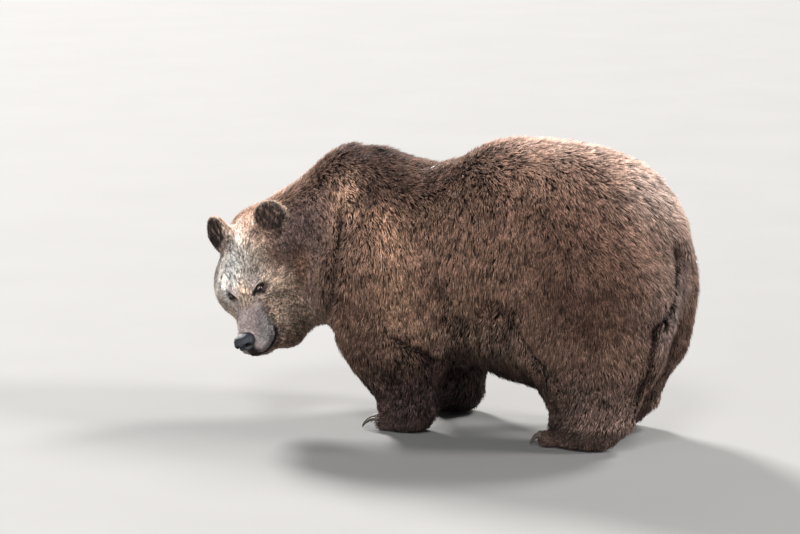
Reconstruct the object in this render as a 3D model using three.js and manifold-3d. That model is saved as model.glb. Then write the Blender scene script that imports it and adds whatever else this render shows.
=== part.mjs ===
// A life-size brown bear that stands on four feet, its head lowered and turned to its left.
//
// Frame: millimetres, +Z up, the floor at Z = 0. The bear faces -Y and its left side is +X.
// It is modelled about a point between its feet; the finished pieces are then moved so that
// the origin lies on the floor under the middle of the whole animal.
//
// The coat is part of every size here, so each solid reaches out to the tips of the hair. The
// flesh is one blended shape, made of ellipsoids and tapered limbs, and thin cuts part it into
// the pieces that a person would name. The nose, the eyes and the claws are pieces of their own.

import * as THREE from "three";
import { mergeVertices } from "three/addons/utils/BufferGeometryUtils.js";
import Module from "manifold-3d";

const wasm = await Module();
wasm.setup();

// ---------------------------------------------------------------- driving sizes

const CUT = 0.4; // the gap between two neighbouring pieces
const FAR = 3000; // longer than the whole animal, for cutting blocks
const MIDDLE = [55, -182]; // the middle of the whole animal, seen from above

// The trunk is made of masses on the middle plane: place along Y, height, and half sizes.
const CHEST = { y: -358, z: 570, half: [306, 300, 346] };
const BARREL = { y: 75, z: 606, half: [362, 440, 414] };
const BELLY = { y: 130, z: 500, half: [300, 330, 335] };
const RUMP = { y: 312, z: 622, half: [312, 344, 370] };
const HUMP = { y: -560, z: 803, half: [168, 185, 170] };

// How softly one mass runs into the next.
const BODY_BLEND = 90;
const NECK_BLEND = 110;
const LEG_BLEND = 60;
const PAW_BLEND = 40;
const HEAD_BLEND = 50;
const TAIL_BLEND = 30;

// The neck runs from between the shoulders to the back of the skull, bending to the left.
const NECK_ROOT = [0, -500, 660];
const NECK_MIDDLE = [15, -705, 614];
const NECK_END = [92, -872, 584];
const NECK_HALF = [225, 208, 172];
const THROAT = { from: [60, -600, 450], to: [140, -690, 425], half: [110, 84] };

// The head has its own frame: X forward along the muzzle, Y to its left, Z up out of the crown.
const HEAD_AT = [216, -859, 540];
const HEAD_FORWARD = [0.797, 0.218, -0.564];
const HEAD_LEFT = [-0.042, 0.951, 0.308];
const EYE_AT = [161, 54, 27];
const EYE_RADIUS = 13;
const SOCKET = { at: [172, 69, 39], half: [26, 19, 19], rim: 16 }; // the hollow that an eye sits in
const EAR_AT = [-69, 105, 135];
const EAR_RADIUS = 61;
const NOSE_AT = [342, 0, -34];
const NOSE_HALF = [29, 36, 27];
const MOUTH_CORNER = 228; // forward of the skull's middle
const MOUTH_HEIGHT = -106;

// Joints of the left legs; the right ones mirror them, moved along Y by the stance.
const FORELEG = {
  shoulder: [175, -440, 500],
  elbow: [200, -335, 300],
  wrist: [185, -292, 84],
  paw: [183, -318, 30],
};
const HINDLEG = {
  haunch: [160, 350, 490],
  hip: [170, 335, 540],
  knee: [205, 395, 330],
  hock: [200, 398, 124],
  paw: [200, 345, 30],
};
const HAUNCH_HALF = [200, 338, 292];

// Half widths of a leg at its joints, and how much deeper than wide its two lengths are.
const FORELEG_GIRTH = { shoulder: 190, elbow: 146, wrist: 84, upperDeep: 1.25, lowerDeep: 1.3 };
const HINDLEG_GIRTH = { hip: 205, knee: 154, hock: 106, deep: 1.54 };
const RIGHT_HIND_STEP = -80; // the right hind foot stands further forward
const STEP_SHARE = { haunch: 0.8, hip: 0.8, knee: 0.9, hock: 1, paw: 1 };
const PAW_IN = 0.12; // how far the paws turn inward
const TAIL_SHAPE = { root: [0, 600, 740], tip: [0, 655, 655], half: [42, 30] };

// A paw: half sizes of its pad, how far out its toes stand, and the reach of a claw past its toe.
const FOREPAW = { half: [98, 72, 42], toeWidth: 54, toeReach: 74, claw: 62 };
const HINDPAW = { half: [140, 70, 42], toeWidth: 52, toeReach: 116, claw: 40 };
const TOES = 5;
const TOE_HALF = [38, 19, 28];
const TOE_ARC = 24; // how far the outer toes stand behind the middle one
const CLAW_RADIUS = 8;
const CLAW_ARCH = 12; // how high a claw arches above the middle of its paw
const CLAW_TIP = 1.5; // the tips stay this far above the floor

// Heights that part the legs.
const ARM_TOP = 650;
const THIGH_TOP = 690;
const ELBOW_CUT = 300;
const KNEE_CUT = 320;
const WRIST_CUT = 82;
const ANKLE_CUT = 88;

// Grid sizes for wrapping the flesh in faces: finer where the form is finer.
const CELL = {
  trunk: 104,
  neck: 74,
  head: 34,
  muzzle: 22,
  ear: 18,
  nose: 16,
  leg: 76,
  paw: 44,
  tail: 36,
};

const COLOUR = {
  coat: 0x6b4f3d,
  dark: 0x3a2a22,
  pale: 0x9a8066,
  nose: 0x16161a,
  eye: 0x1c0f08,
  claw: 0x2b2520,
};

// ---------------------------------------------------------------- fields of distance

const { min, max, abs, hypot } = Math;
const clamp01 = (t) => min(1, max(0, t));
const minus = (a, b) => [a[0] - b[0], a[1] - b[1], a[2] - b[2]];
const plus = (a, b) => [a[0] + b[0], a[1] + b[1], a[2] + b[2]];
const times = (a, k) => [a[0] * k, a[1] * k, a[2] * k];
const dot = (a, b) => a[0] * b[0] + a[1] * b[1] + a[2] * b[2];

// An ellipsoid with its axes along X, Y and Z, or along the frame's own axes.
function ellipsoid(at, half, frame) {
  return (p) => {
    const q = frame ? frame.into(minus(p, at)) : minus(p, at);
    const k0 = hypot(q[0] / half[0], q[1] / half[1], q[2] / half[2]);
    const k1 = hypot(q[0] / half[0] ** 2, q[1] / half[1] ** 2, q[2] / half[2] ** 2);
    return k1 > 0 ? (k0 * (k0 - 1)) / k1 : -min(...half);
  };
}

// A limb between two joints, round at both ends. Deep stretches it along Y.
function limb(a, b, ra, rb, deep = 1) {
  const squeeze = (p) => [p[0], p[1] / deep, p[2]];
  const from = squeeze(a);
  const along = minus(squeeze(b), from);
  return (p) => {
    const q = minus(squeeze(p), from);
    const t = clamp01(dot(q, along) / dot(along, along));
    return hypot(...minus(q, times(along, t))) - (ra + (rb - ra) * t);
  };
}

// Two shapes run into each other over about k millimetres.
function blend(a, b, k) {
  const h = max(k - abs(a - b), 0) / k;
  return min(a, b) - (h * h * k) / 4;
}

// One shape taken out of another, with a soft rim.
const carve = (a, b, k) => -blend(-a, b, k);

const blendAll = (fields, k) => (p) => fields.reduce((d, f) => blend(d, f(p), k), Infinity);

const mirrored = ([x, y, z]) => [-x, y, z];

// ---------------------------------------------------------------- frames

// A frame with its own axes, given forward (X) and left (Y); Z follows.
function frameOf(at, forward, left) {
  const x = new THREE.Vector3(...forward).normalize();
  const y = new THREE.Vector3(...left);
  y.addScaledVector(x, -x.dot(y)).normalize();
  const z = new THREE.Vector3().crossVectors(x, y);
  const axes = [x.toArray(), y.toArray(), z.toArray()];
  const into = (v) => axes.map((axis) => dot(v, axis));
  const out = (v) => plus(plus(times(axes[0], v[0]), times(axes[1], v[1])), times(axes[2], v[2]));
  return {
    into,
    local: (p) => into(minus(p, at)),
    world: (p) => plus(at, out(p)),
    turned: out,
    matrix: new THREE.Matrix4().makeBasis(x, y, z).setPosition(...at),
  };
}

const HEAD = frameOf(HEAD_AT, HEAD_FORWARD, HEAD_LEFT);
const onSide = (p, side) => [p[0], side * p[1], p[2]];

// ---------------------------------------------------------------- the flesh, as one field

function trunkField() {
  const masses = [CHEST, BARREL, BELLY, RUMP].map((m) => ellipsoid([0, m.y, m.z], m.half));
  const hump = ellipsoid([0, HUMP.y, HUMP.z], HUMP.half);
  const body = blendAll(masses, BODY_BLEND);
  return (p) => blend(body(p), hump(p), BODY_BLEND);
}

function neckField() {
  return blendAll(
    [
      limb(NECK_ROOT, NECK_MIDDLE, NECK_HALF[0], NECK_HALF[1]),
      limb(NECK_MIDDLE, NECK_END, NECK_HALF[1], NECK_HALF[2]),
      limb(THROAT.from, THROAT.to, ...THROAT.half),
    ],
    BODY_BLEND,
  );
}

// The skull and muzzle, in the head's own frame.
function skullField() {
  const cranium = ellipsoid([-20, 0, 10], [140, 132, 125]);
  const forehead = ellipsoid([90, 0, 14], [94, 104, 72]);
  const muzzle = limb([160, 0, -44], [294, 0, -64], 66, 46);
  const bridge = limb([150, 0, 0], [324, 0, -35], 38, 24);
  const chin = limb([90, 0, -140], [294, 0, -116], 84, 30);
  const throat = ellipsoid([56, 12, -158], [124, 128, 110]);
  const jowls = [-1, 1].map((side) => ellipsoid([142, side * 54, -158], [112, 64, 88]));
  const cheeks = [-1, 1].map((side) => ellipsoid([16, side * 97, -50], [120, 92, 112]));
  const lips = [-1, 1].map((side) => ellipsoid([276, side * 26, -84], [62, 28, 30]));
  const brows = [-1, 1].map((side) => ellipsoid([128, side * 52, 40], [40, 34, 24]));
  const face = blendAll([cranium, forehead, throat, ...cheeks, ...jowls], 50);
  const snout = blendAll([muzzle, bridge, ...lips], 26);
  const sockets = [-1, 1].map((side) => ellipsoid(onSide(SOCKET.at, side), SOCKET.half));
  const pad = ellipsoid(NOSE_AT, NOSE_HALF);
  return (p) => {
    const skull = blend(blend(face(p), chin(p), 45), snout(p), 40);
    const browed = brows.reduce((d, f) => blend(d, f(p), 30), skull);
    return blend(sockets.reduce((d, f) => carve(d, f(p), SOCKET.rim), browed), pad(p), 8);
  };
}

// A round, cupped ear that opens forward and outward, in the head's own frame.
function earField(side) {
  const at = onSide(EAR_AT, side);
  const opening = frameOf(at, onSide([0.66, 0.5, 0.56], side), [0, 0.75, -0.6 * side]);
  const disc = ellipsoid(at, [22, EAR_RADIUS, EAR_RADIUS + 2], opening);
  const cup = ellipsoid(plus(at, opening.turned([26, 0, 0])), [28, 40, 42], opening);
  const root = limb([-50, side * 78, 80], plus(at, opening.turned([-12, 0, 0])), 46, 34);
  return (p) => blend(carve(disc(p), cup(p), 8), root(p), 26);
}

// The joints of the legs on the two sides; the right hind leg takes a step forward.
const forelegOn = (side) => Object.values(FORELEG).map((at) => (side > 0 ? at : mirrored(at)));
const hindlegOn = (side) =>
  Object.entries(HINDLEG).map(([name, at]) =>
    side > 0 ? at : plus(mirrored(at), [0, RIGHT_HIND_STEP * STEP_SHARE[name], 0]),
  );

// A paw has its own frame too: X forward along the toes, Y to its left, Z up.
function pawFrame(paw, side) {
  return frameOf(paw, [-side * PAW_IN, -1, 0], [1, -side * PAW_IN, 0]);
}

// Toes stand side by side in a shallow arc at the front of the paw, in the paw's frame.
function toePlaces(size) {
  return Array.from({ length: TOES }, (_, i) => {
    const across = (i / (TOES - 1)) * 2 - 1;
    return [size.toeReach - TOE_ARC * across ** 2, across * size.toeWidth, -4];
  });
}

function pawField(size, frame) {
  const pad = ellipsoid([0, 0, 0], size.half);
  return (p) => pad(frame.local(p));
}

function forelegField(side) {
  const [shoulder, elbow, wrist, paw] = forelegOn(side);
  const girth = FORELEG_GIRTH;
  const upper = limb(shoulder, elbow, girth.shoulder, girth.elbow, girth.upperDeep);
  const lower = limb(elbow, wrist, girth.elbow, girth.wrist, girth.lowerDeep);
  const leg = blendAll([upper, lower], LEG_BLEND);
  const foot = pawField(FOREPAW, pawFrame(paw, side));
  return (p) => blend(leg(p), foot(p), PAW_BLEND);
}

function hindlegField(side) {
  const [haunch, hip, knee, hock, paw] = hindlegOn(side);
  const girth = HINDLEG_GIRTH;
  const upper = limb(hip, knee, girth.hip, girth.knee, girth.deep);
  const lower = limb(knee, hock, girth.knee, girth.hock, girth.deep);
  const leg = blendAll([upper, ellipsoid(haunch, HAUNCH_HALF), lower], LEG_BLEND);
  const foot = pawField(HINDPAW, pawFrame(paw, side));
  return (p) => blend(leg(p), foot(p), PAW_BLEND);
}

const trunkPart = trunkField();
const neckPart = neckField();
const skull = skullField();
const legParts = [1, -1].flatMap((side) => [forelegField(side), hindlegField(side)]);
const tailPart = limb(TAIL_SHAPE.root, TAIL_SHAPE.tip, ...TAIL_SHAPE.half);

function flesh(p) {
  const body = blend(trunkPart(p), neckPart(p), NECK_BLEND);
  const legged = legParts.reduce((d, leg) => blend(d, leg(p), LEG_BLEND), body);
  return blend(blend(legged, tailPart(p), TAIL_BLEND), skull(HEAD.local(p)), HEAD_BLEND);
}

// ---------------------------------------------------------------- from field to faces

const boxField = (low, high) => (p) =>
  max(...[0, 1, 2].map((k) => max(low[k] - p[k], p[k] - high[k])));

// The corners of one grid cell, and the cell's twelve edges as pairs of corners.
const CORNERS = Array.from({ length: 8 }, (_, i) => [i & 1, (i >> 1) & 1, (i >> 2) & 1]);
const EDGES = CORNERS.flatMap((a, i) =>
  [0, 1, 2].filter((k) => !a[k]).map((k) => [i, i + (1 << k)]),
);

function slope(field, p, step) {
  return [0, 1, 2].map((k) => {
    const q = [...p];
    const r = [...p];
    q[k] += step;
    r[k] -= step;
    return (field(q) - field(r)) / (2 * step);
  });
}

// Moves a point along the slope onto the surface, by no more than reach.
function ontoSurface(field, p, reach) {
  let q = p;
  for (let i = 0; i < 3; i++) {
    const g = slope(field, q, 1);
    const steep = max(dot(g, g), 0.05);
    const step = max(-reach, min(reach, field(q) / steep));
    q = minus(q, times(g, step));
  }
  return hypot(...minus(q, p)) < 2 * reach ? q : p;
}

// Wraps the inside of a field, within a box, in four-sided faces: one corner in each grid cell
// that the surface crosses, and one face round each grid edge that it crosses.
function wrap(field, low, high, cell) {
  const inBox = boxField(low, high);
  const closed = (p) => max(field(p), inBox(p));
  const count = low.map((a, k) => Math.ceil((high[k] - a) / cell) + 3);
  const start = low.map((a) => a - cell);
  const at = (i, j, k) => [start[0] + i * cell, start[1] + j * cell, start[2] + k * cell];
  const index = (i, j, k) => i + count[0] * (j + count[1] * k);
  const values = new Float64Array(count[0] * count[1] * count[2]);
  for (let k = 0; k < count[2]; k++)
    for (let j = 0; j < count[1]; j++)
      for (let i = 0; i < count[0]; i++) values[index(i, j, k)] = closed(at(i, j, k));

  const corner = new Map();
  const positions = [];
  for (let k = 0; k < count[2] - 1; k++)
    for (let j = 0; j < count[1] - 1; j++)
      for (let i = 0; i < count[0] - 1; i++) {
        const v = CORNERS.map((c) => values[index(i + c[0], j + c[1], k + c[2])]);
        const crossed = EDGES.filter(([a, b]) => v[a] < 0 !== v[b] < 0);
        if (!crossed.length) continue;
        let sum = [0, 0, 0];
        for (const [a, b] of crossed) {
          const t = v[a] / (v[a] - v[b]);
          sum = plus(sum, plus(times(CORNERS[a], 1 - t), times(CORNERS[b], t)));
        }
        const p = plus(at(i, j, k), times(sum, cell / crossed.length));
        corner.set(index(i, j, k), positions.length / 3);
        positions.push(...ontoSurface(closed, p, cell / 2));
      }

  const faces = [];
  const place = (n) => positions.slice(3 * n, 3 * n + 3);
  const apart = (a, b) => hypot(...minus(place(a), place(b)));
  for (let k = 1; k < count[2] - 1; k++)
    for (let j = 1; j < count[1] - 1; j++)
      for (let i = 1; i < count[0] - 1; i++)
        for (let axis = 0; axis < 3; axis++) {
          const here = [i, j, k];
          const next = here.map((n, d) => n + (d === axis));
          const inside = values[index(...here)] < 0;
          if (inside === values[index(...next)] < 0) continue;
          const [u, v] = [(axis + 1) % 3, (axis + 2) % 3];
          const ring = [[-1, -1], [0, -1], [0, 0], [-1, 0]].map(([du, dv]) => {
            const c = [...here];
            c[u] += du;
            c[v] += dv;
            return corner.get(index(...c));
          });
          const [a, b, c, d] = inside ? ring : ring.reverse();
          if (apart(a, c) < apart(b, d)) faces.push(a, b, c, a, c, d);
          else faces.push(b, c, d, b, d, a);
        }
  const geometry = new THREE.BufferGeometry();
  geometry.setAttribute("position", new THREE.Float32BufferAttribute(positions, 3));
  geometry.setIndex(faces);
  return geometry;
}

// ---------------------------------------------------------------- solids and cuts

function solidOf(geometry) {
  return new wasm.Manifold(
    new wasm.Mesh({
      numProp: 3,
      vertProperties: new Float32Array(geometry.getAttribute("position").array),
      triVerts: new Uint32Array(geometry.getIndex().array),
    }),
  );
}

// A solid of a closed three.js geometry, with its shared corners merged, moved by a matrix.
function placed(source, matrix) {
  const bare = new THREE.BufferGeometry();
  bare.setAttribute("position", source.getAttribute("position").clone().applyMatrix4(matrix));
  bare.setIndex(source.index);
  return solidOf(mergeVertices(bare, 1e-3));
}

function geometryOf(solid) {
  const mesh = solid.getMesh();
  const places = new Float32Array(mesh.numVert * 3);
  for (let i = 0; i < mesh.numVert; i++) {
    places.set(mesh.vertProperties.subarray(i * mesh.numProp, i * mesh.numProp + 3), i * 3);
  }
  const geometry = new THREE.BufferGeometry();
  geometry.setAttribute("position", new THREE.BufferAttribute(places, 3));
  geometry.setIndex(new THREE.BufferAttribute(new Uint32Array(mesh.triVerts), 1));
  geometry.computeVertexNormals();
  return geometry;
}

// A large block that fills everything beyond a plane, on the side that its normal points to.
function beyond([point, normal], from = 0) {
  const z = new THREE.Vector3(...normal).normalize();
  const turn = new THREE.Quaternion().setFromUnitVectors(new THREE.Vector3(0, 0, 1), z);
  const middle = new THREE.Vector3(...point).addScaledVector(z, from + FAR / 2);
  const matrix = new THREE.Matrix4().compose(middle, turn, new THREE.Vector3(1, 1, 1));
  return placed(new THREE.BoxGeometry(2 * FAR, 2 * FAR, FAR), matrix);
}

// What lies beyond all of some planes: a piece keeps the inside, and its neighbours lose the
// outside, which starts one gap earlier.
function region(...planes) {
  const common = (from) => planes.map((plane) => beyond(plane, from)).reduce((a, b) => a.intersect(b));
  return { inside: common(0), outside: common(-CUT) };
}

// The largest body of a solid, without crumbs from the cuts.
const largest = (solid) => solid.decompose().reduce((a, b) => (b.volume() > a.volume() ? b : a));

// The flesh inside a box, kept within one region and cleared of others.
function fleshPiece(low, high, cell, keep, clear = []) {
  const start = solidOf(wrap(flesh, low, high, cell)).intersect(ABOVE_FLOOR);
  const kept = keep.reduce((solid, r) => solid.intersect(r.inside), start);
  return largest(clear.reduce((solid, r) => solid.subtract(r.outside), kept));
}

// What shows of a small solid that grows out of larger ones, moved clear of them by one gap.
function grownOut(solid, bodies, way) {
  const shown = largest(bodies.reduce((s, body) => s.subtract(body), solid));
  return shown.translate(new THREE.Vector3(...way).setLength(CUT).toArray());
}

// ---------------------------------------------------------------- where the cuts lie

const ABOVE_FLOOR = beyond([[0, 0, 0], [0, 0, 1]]);
const headPlane = (point, way) => [HEAD.world(point), HEAD.turned(way)];

// In front of the shoulders, and in front of the neck.
const FRONT = region([[0, -640, 640], [0, -1, 0.1]]);
const FACE = region([[0, -640, 640], [0, -1, 0.1]], headPlane([-105, 80, 0], [0.88, -0.3, 0.35]));
const JAW = region(
  headPlane([MOUTH_CORNER, 0, MOUTH_HEIGHT], [0.06, 0, -1]),
  headPlane([112, 0, 0], [1, 0, 0]),
);
const MUZZLE = region(headPlane([196, 0, 0], [1, 0, 0.05]));
const NOSE = region(headPlane([330, 0, -38], [1, 0, 0.3]), headPlane([330, 0, -62], [0, 0, 1]));

const TAIL = region(
  [[0, 618, 0], [0, 1, 0]],
  [[-56, 0, 0], [1, 0, 0]],
  [[56, 0, 0], [-1, 0, 0]],
  [[0, 0, 612], [0, 0, 1]],
  [[0, 0, 780], [0, 0, -1]],
);

// A leg is what lies outside a plane that slants up and out from between the legs, bounded
// by the armpit behind a foreleg and by the flank in front of a hind leg.
const legRegion = (side, inner, top, bound) =>
  region(
    [[side * inner, 0, 165], [side * 0.94, 0, -0.34]],
    [[side * 300, 0, top], [side * 0.35, 0, -1]],
    bound,
  );
const armBound = [[0, -105, 300], [0, -1, -0.3]];
const flankBound = (side) => [[0, 135 + (side < 0 ? RIGHT_HIND_STEP : 0), 300], [0, 1, -0.25]];
const under = (z) => [[0, 0, z], [0, 0, -1]];
const over = (z) => [[0, 0, z + CUT], [0, 0, 1]];

// ---------------------------------------------------------------- eyes and claws

const eyeBall = (side, radius) => {
  const matrix = new THREE.Matrix4().setPosition(...HEAD.world(onSide(EYE_AT, side)));
  return placed(new THREE.IcosahedronGeometry(radius, 1), matrix);
};

// A toe is an egg-shaped lump, cut flat at the floor as the pad behind it is.
function toeLump(frame, at) {
  const shape = new THREE.Matrix4().makeScale(...TOE_HALF).setPosition(...at);
  return placed(new THREE.SphereGeometry(1, 7, 5), frame.matrix.clone().multiply(shape));
}

// A claw starts inside its toe, arches forward and comes down to just above the floor.
function claw(size, frame, toe) {
  const drop = CLAW_TIP - frame.world([0, 0, 0])[2];
  const [root, face] = [toe[0] + 14, toe[0] + 24];
  const along = new THREE.QuadraticBezierCurve3(
    new THREE.Vector3(root, toe[1], 4),
    new THREE.Vector3(face + size.claw * 0.55, toe[1], CLAW_ARCH),
    new THREE.Vector3(face + size.claw, toe[1], drop),
  );
  const rings = 3;
  const sides = 5;
  const positions = [];
  for (let i = 0; i < rings; i++) {
    const t = i / rings;
    const at = along.getPoint(t);
    const way = along.getTangent(t);
    const radius = CLAW_RADIUS * (1 - t) ** 0.6;
    for (let j = 0; j < sides; j++) {
      const a = ((j + 0.5) / sides) * 2 * Math.PI;
      const [across, rise] = [0.75 * radius * Math.cos(a), radius * Math.sin(a)];
      positions.push(at.x - rise * way.z, at.y + across, at.z + rise * way.x);
    }
  }
  const tip = along.getPoint(1).toArray();
  positions.push(...tip, ...along.getPoint(0).toArray());
  const [tipAt, rootAt] = [rings * sides, rings * sides + 1];
  const faces = [];
  for (let j = 0; j < sides; j++) {
    const n = (j + 1) % sides;
    faces.push(rootAt, n, j);
    for (let i = 0; i < rings - 1; i++) {
      const [a, b] = [i * sides, (i + 1) * sides];
      faces.push(a + j, a + n, b + j, a + n, b + n, b + j);
    }
    faces.push((rings - 1) * sides + j, (rings - 1) * sides + n, tipAt);
  }
  const geometry = new THREE.BufferGeometry();
  geometry.setAttribute("position", new THREE.Float32BufferAttribute(positions, 3));
  geometry.setIndex(faces);
  geometry.applyMatrix4(frame.matrix);
  return solidOf(geometry);
}

// ---------------------------------------------------------------- pieces

const group = new THREE.Group();

function add(name, solid, colour, roughness = 0.85) {
  const material = new THREE.MeshStandardMaterial({ color: colour, roughness, metalness: 0 });
  const mesh = new THREE.Mesh(geometryOf(solid.translate([-MIDDLE[0], -MIDDLE[1], 0])), material);
  mesh.name = name;
  group.add(mesh);
}

const around = (middle, reach) => [middle.map((v) => v - reach), middle.map((v) => v + reach)];

// Boxes that hold each of the larger pieces.
const HEAD_BOX = [[-60, -1260, 120], [600, -600, 880]];
const NECK_BOX = [[-340, -1150, 250], [420, -560, 1000]];
const TAIL_BOX = [[-120, 540, 540], [120, 780, 860]];
const TRUNK_BOX = [[-440, -760, 60], [440, 760, 1120]];

function addHead() {
  const sockets = [1, -1].map((side) => ({ outside: eyeBall(side, EYE_RADIUS + CUT) }));
  const head = fleshPiece(...HEAD_BOX, CELL.head, [FACE], [JAW, MUZZLE, ...sockets]);
  const neck = fleshPiece(...NECK_BOX, CELL.neck, [FRONT], [FACE]);
  const snout = around(HEAD.world([260, 0, -70]), 190);
  add("head", head, COLOUR.pale);
  add("neck", neck, COLOUR.dark);
  add("muzzle", fleshPiece(...snout, CELL.muzzle, [FACE, MUZZLE], [JAW, NOSE]), COLOUR.pale);
  add("lower_jaw", fleshPiece(...HEAD_BOX, CELL.head, [FACE, JAW], [NOSE]), COLOUR.pale);
  add("nose", fleshPiece(...around(HEAD.world(NOSE_AT), 70), CELL.nose, [NOSE]), COLOUR.nose, 0.4);
  for (const [word, side] of [["left", 1], ["right", -1]]) {
    const ear = earField(side);
    const box = around(HEAD.world(onSide(EAR_AT, side)), 130);
    const whole = solidOf(wrap((p) => ear(HEAD.local(p)), ...box, CELL.ear));
    const outward = HEAD.turned([-0.2, side * 0.55, 0.8]);
    add(`ear_${word}`, grownOut(whole, [head, neck], outward), COLOUR.dark);
    add(`eye_${word}`, eyeBall(side, EYE_RADIUS), COLOUR.eye, 0.15);
  }
}

function addLeg(side, name, size) {
  const word = side > 0 ? "left" : "right";
  const fore = name === "fore";
  const whole = fore
    ? legRegion(side, 70, ARM_TOP, armBound)
    : legRegion(side, 75, THIGH_TOP, flankBound(side));
  const [bend, ankle] = fore ? [ELBOW_CUT, WRIST_CUT] : [KNEE_CUT, ANKLE_CUT];
  const paw = (fore ? forelegOn(side) : hindlegOn(side)).at(-1);
  const frame = pawFrame(paw, side);
  const [inner, outer] = side > 0 ? [-60, 480] : [-480, 60];
  const low = [inner, paw[1] - 420, -60];
  const high = [outer, paw[1] + 420, 900];
  const names = fore ? ["upper_arm", "forearm"] : ["thigh", "shank"];
  const limits = [[region(over(bend))], [region(under(bend)), region(over(ankle))]];
  names.forEach((piece, i) => {
    const colour = i ? COLOUR.dark : COLOUR.coat;
    add(`${piece}_${word}`, fleshPiece(low, high, CELL.leg, [whole, ...limits[i]], [FRONT]), colour);
  });
  const [from, to] = [[-130, -230, -60], [130, 230, 150]].map((d) => plus([paw[0], paw[1], 0], d));
  const pad = fleshPiece(from, to, CELL.paw, [whole, region(under(ankle))]);
  const toes = toePlaces(size);
  const foot = toes.reduce((s, at) => s.add(toeLump(frame, at)), pad).intersect(ABOVE_FLOOR);
  add(`${name}paw_${word}`, foot, COLOUR.dark);
  toes.forEach((toe, i) => {
    const shown = grownOut(claw(size, frame, toe), [foot], frame.turned([1, 0, 0]));
    add(`${name}_claw_${word}_${i + 1}`, shown, COLOUR.claw, 0.5);
  });
  return whole;
}

addHead();
const legs = [1, -1].flatMap((side) => [
  addLeg(side, "fore", FOREPAW),
  addLeg(side, "hind", HINDPAW),
]);
add("tail", fleshPiece(...TAIL_BOX, CELL.tail, [TAIL]), COLOUR.coat);
add("trunk", fleshPiece(...TRUNK_BOX, CELL.trunk, [], [FRONT, TAIL, ...legs]), COLOUR.coat);

export default group;
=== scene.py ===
# %% [markdown]
# A life-size brown bear, as a museum shows one: it stands on four feet with its head lowered
# and turned to its left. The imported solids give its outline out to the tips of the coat. The
# looks are built over them: one skin under the coat, the coat itself as joined tufts of solid
# mesh, and the eyes, the nose and the claws as pieces of their own.

# %% Load the frame
import math

import bmesh
import bpy
import numpy as np
from mathutils import Matrix, Vector
from mathutils.bvhtree import BVHTree
from mathutils.kdtree import KDTree


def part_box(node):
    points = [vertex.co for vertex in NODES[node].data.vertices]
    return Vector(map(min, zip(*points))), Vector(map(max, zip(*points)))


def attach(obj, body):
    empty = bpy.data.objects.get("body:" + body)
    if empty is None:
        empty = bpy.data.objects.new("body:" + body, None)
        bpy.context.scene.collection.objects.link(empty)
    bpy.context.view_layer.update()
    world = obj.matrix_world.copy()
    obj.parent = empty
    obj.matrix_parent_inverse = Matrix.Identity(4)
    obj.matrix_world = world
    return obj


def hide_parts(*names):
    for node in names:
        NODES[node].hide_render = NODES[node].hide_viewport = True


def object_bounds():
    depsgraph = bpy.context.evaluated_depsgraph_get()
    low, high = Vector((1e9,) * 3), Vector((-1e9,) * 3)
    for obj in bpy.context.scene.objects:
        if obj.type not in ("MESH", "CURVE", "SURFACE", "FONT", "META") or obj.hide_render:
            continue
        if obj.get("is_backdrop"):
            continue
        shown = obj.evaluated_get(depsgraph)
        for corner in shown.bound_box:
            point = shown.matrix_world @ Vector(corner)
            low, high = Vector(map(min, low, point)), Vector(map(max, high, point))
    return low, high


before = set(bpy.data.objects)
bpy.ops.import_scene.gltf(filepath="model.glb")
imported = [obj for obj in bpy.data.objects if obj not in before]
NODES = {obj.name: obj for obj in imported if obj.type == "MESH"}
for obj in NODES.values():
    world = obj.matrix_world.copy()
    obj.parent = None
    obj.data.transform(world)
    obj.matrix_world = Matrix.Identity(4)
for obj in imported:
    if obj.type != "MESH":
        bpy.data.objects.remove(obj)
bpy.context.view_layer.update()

CLAWS = sorted(n for n in NODES if "_claw_" in n)
FLESH = sorted(n for n in NODES if n not in CLAWS and n not in ("nose", "eye_left", "eye_right"))
print("flesh nodes:", len(FLESH), "claws:", len(CLAWS))

# %% [markdown]
# The body is even on its two sides, about a plane halfway between the fore paws. The head has
# a frame of its own: forward along the muzzle, left, and up out of the crown. Both are worked
# out from the solids, so that everything placed by them stays on what carries it.

# %% Body and head frames


def unit(v):
    return v / np.maximum(np.linalg.norm(v, axis=-1, keepdims=True), 1e-12)


def middle(node):
    low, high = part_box(node)
    return np.array((low + high) / 2)


EYE_FORWARD, EYE_UP = 0.161, 0.027  # the eyes, from the middle of the skull
MUZZLE_WAY = (0.797, 0.218, -0.564)  # made square to the line between the eyes
BODY_BACK = 0.182  # how far behind the solids' own origin the body's frame starts
eye_left, eye_right = middle("eye_left"), middle("eye_right")
left = unit(eye_left - eye_right)
forward = np.array(MUZZLE_WAY)
forward = unit(forward - left * (forward @ left))
HEAD = np.stack([forward, left, np.cross(forward, left)])
HEAD_AT = (eye_left + eye_right) / 2 - EYE_FORWARD * HEAD[0] - EYE_UP * HEAD[2]
BODY_AT = (middle("forepaw_left") + middle("forepaw_right")) / 2 * [1, 0, 0] + [0, BODY_BACK, 0]


def in_head(p):
    return (np.asarray(p) - HEAD_AT) @ HEAD.T


def from_head(q):
    return HEAD_AT + np.asarray(q) @ HEAD


def in_body(p):
    return np.asarray(p) - BODY_AT


def left_head(p):
    """In the head's frame, with the right half folded onto the left."""
    q = in_head(p)
    q[:, 1] = np.abs(q[:, 1])
    return q


def left_body(p):
    """In the body's frame, with the right half folded onto the left."""
    q = in_body(p)
    q[:, 0] = np.abs(q[:, 0])
    return q


print("skull at", HEAD_AT.round(3), "body plane at x =", BODY_AT[0].round(3))

# %% [markdown]
# The camera stands about 12 m off, a little behind the left side and 9 degrees above the
# horizon, with a long lens. The floor is a plain pale disc, wide enough to fill the frame.

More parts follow.
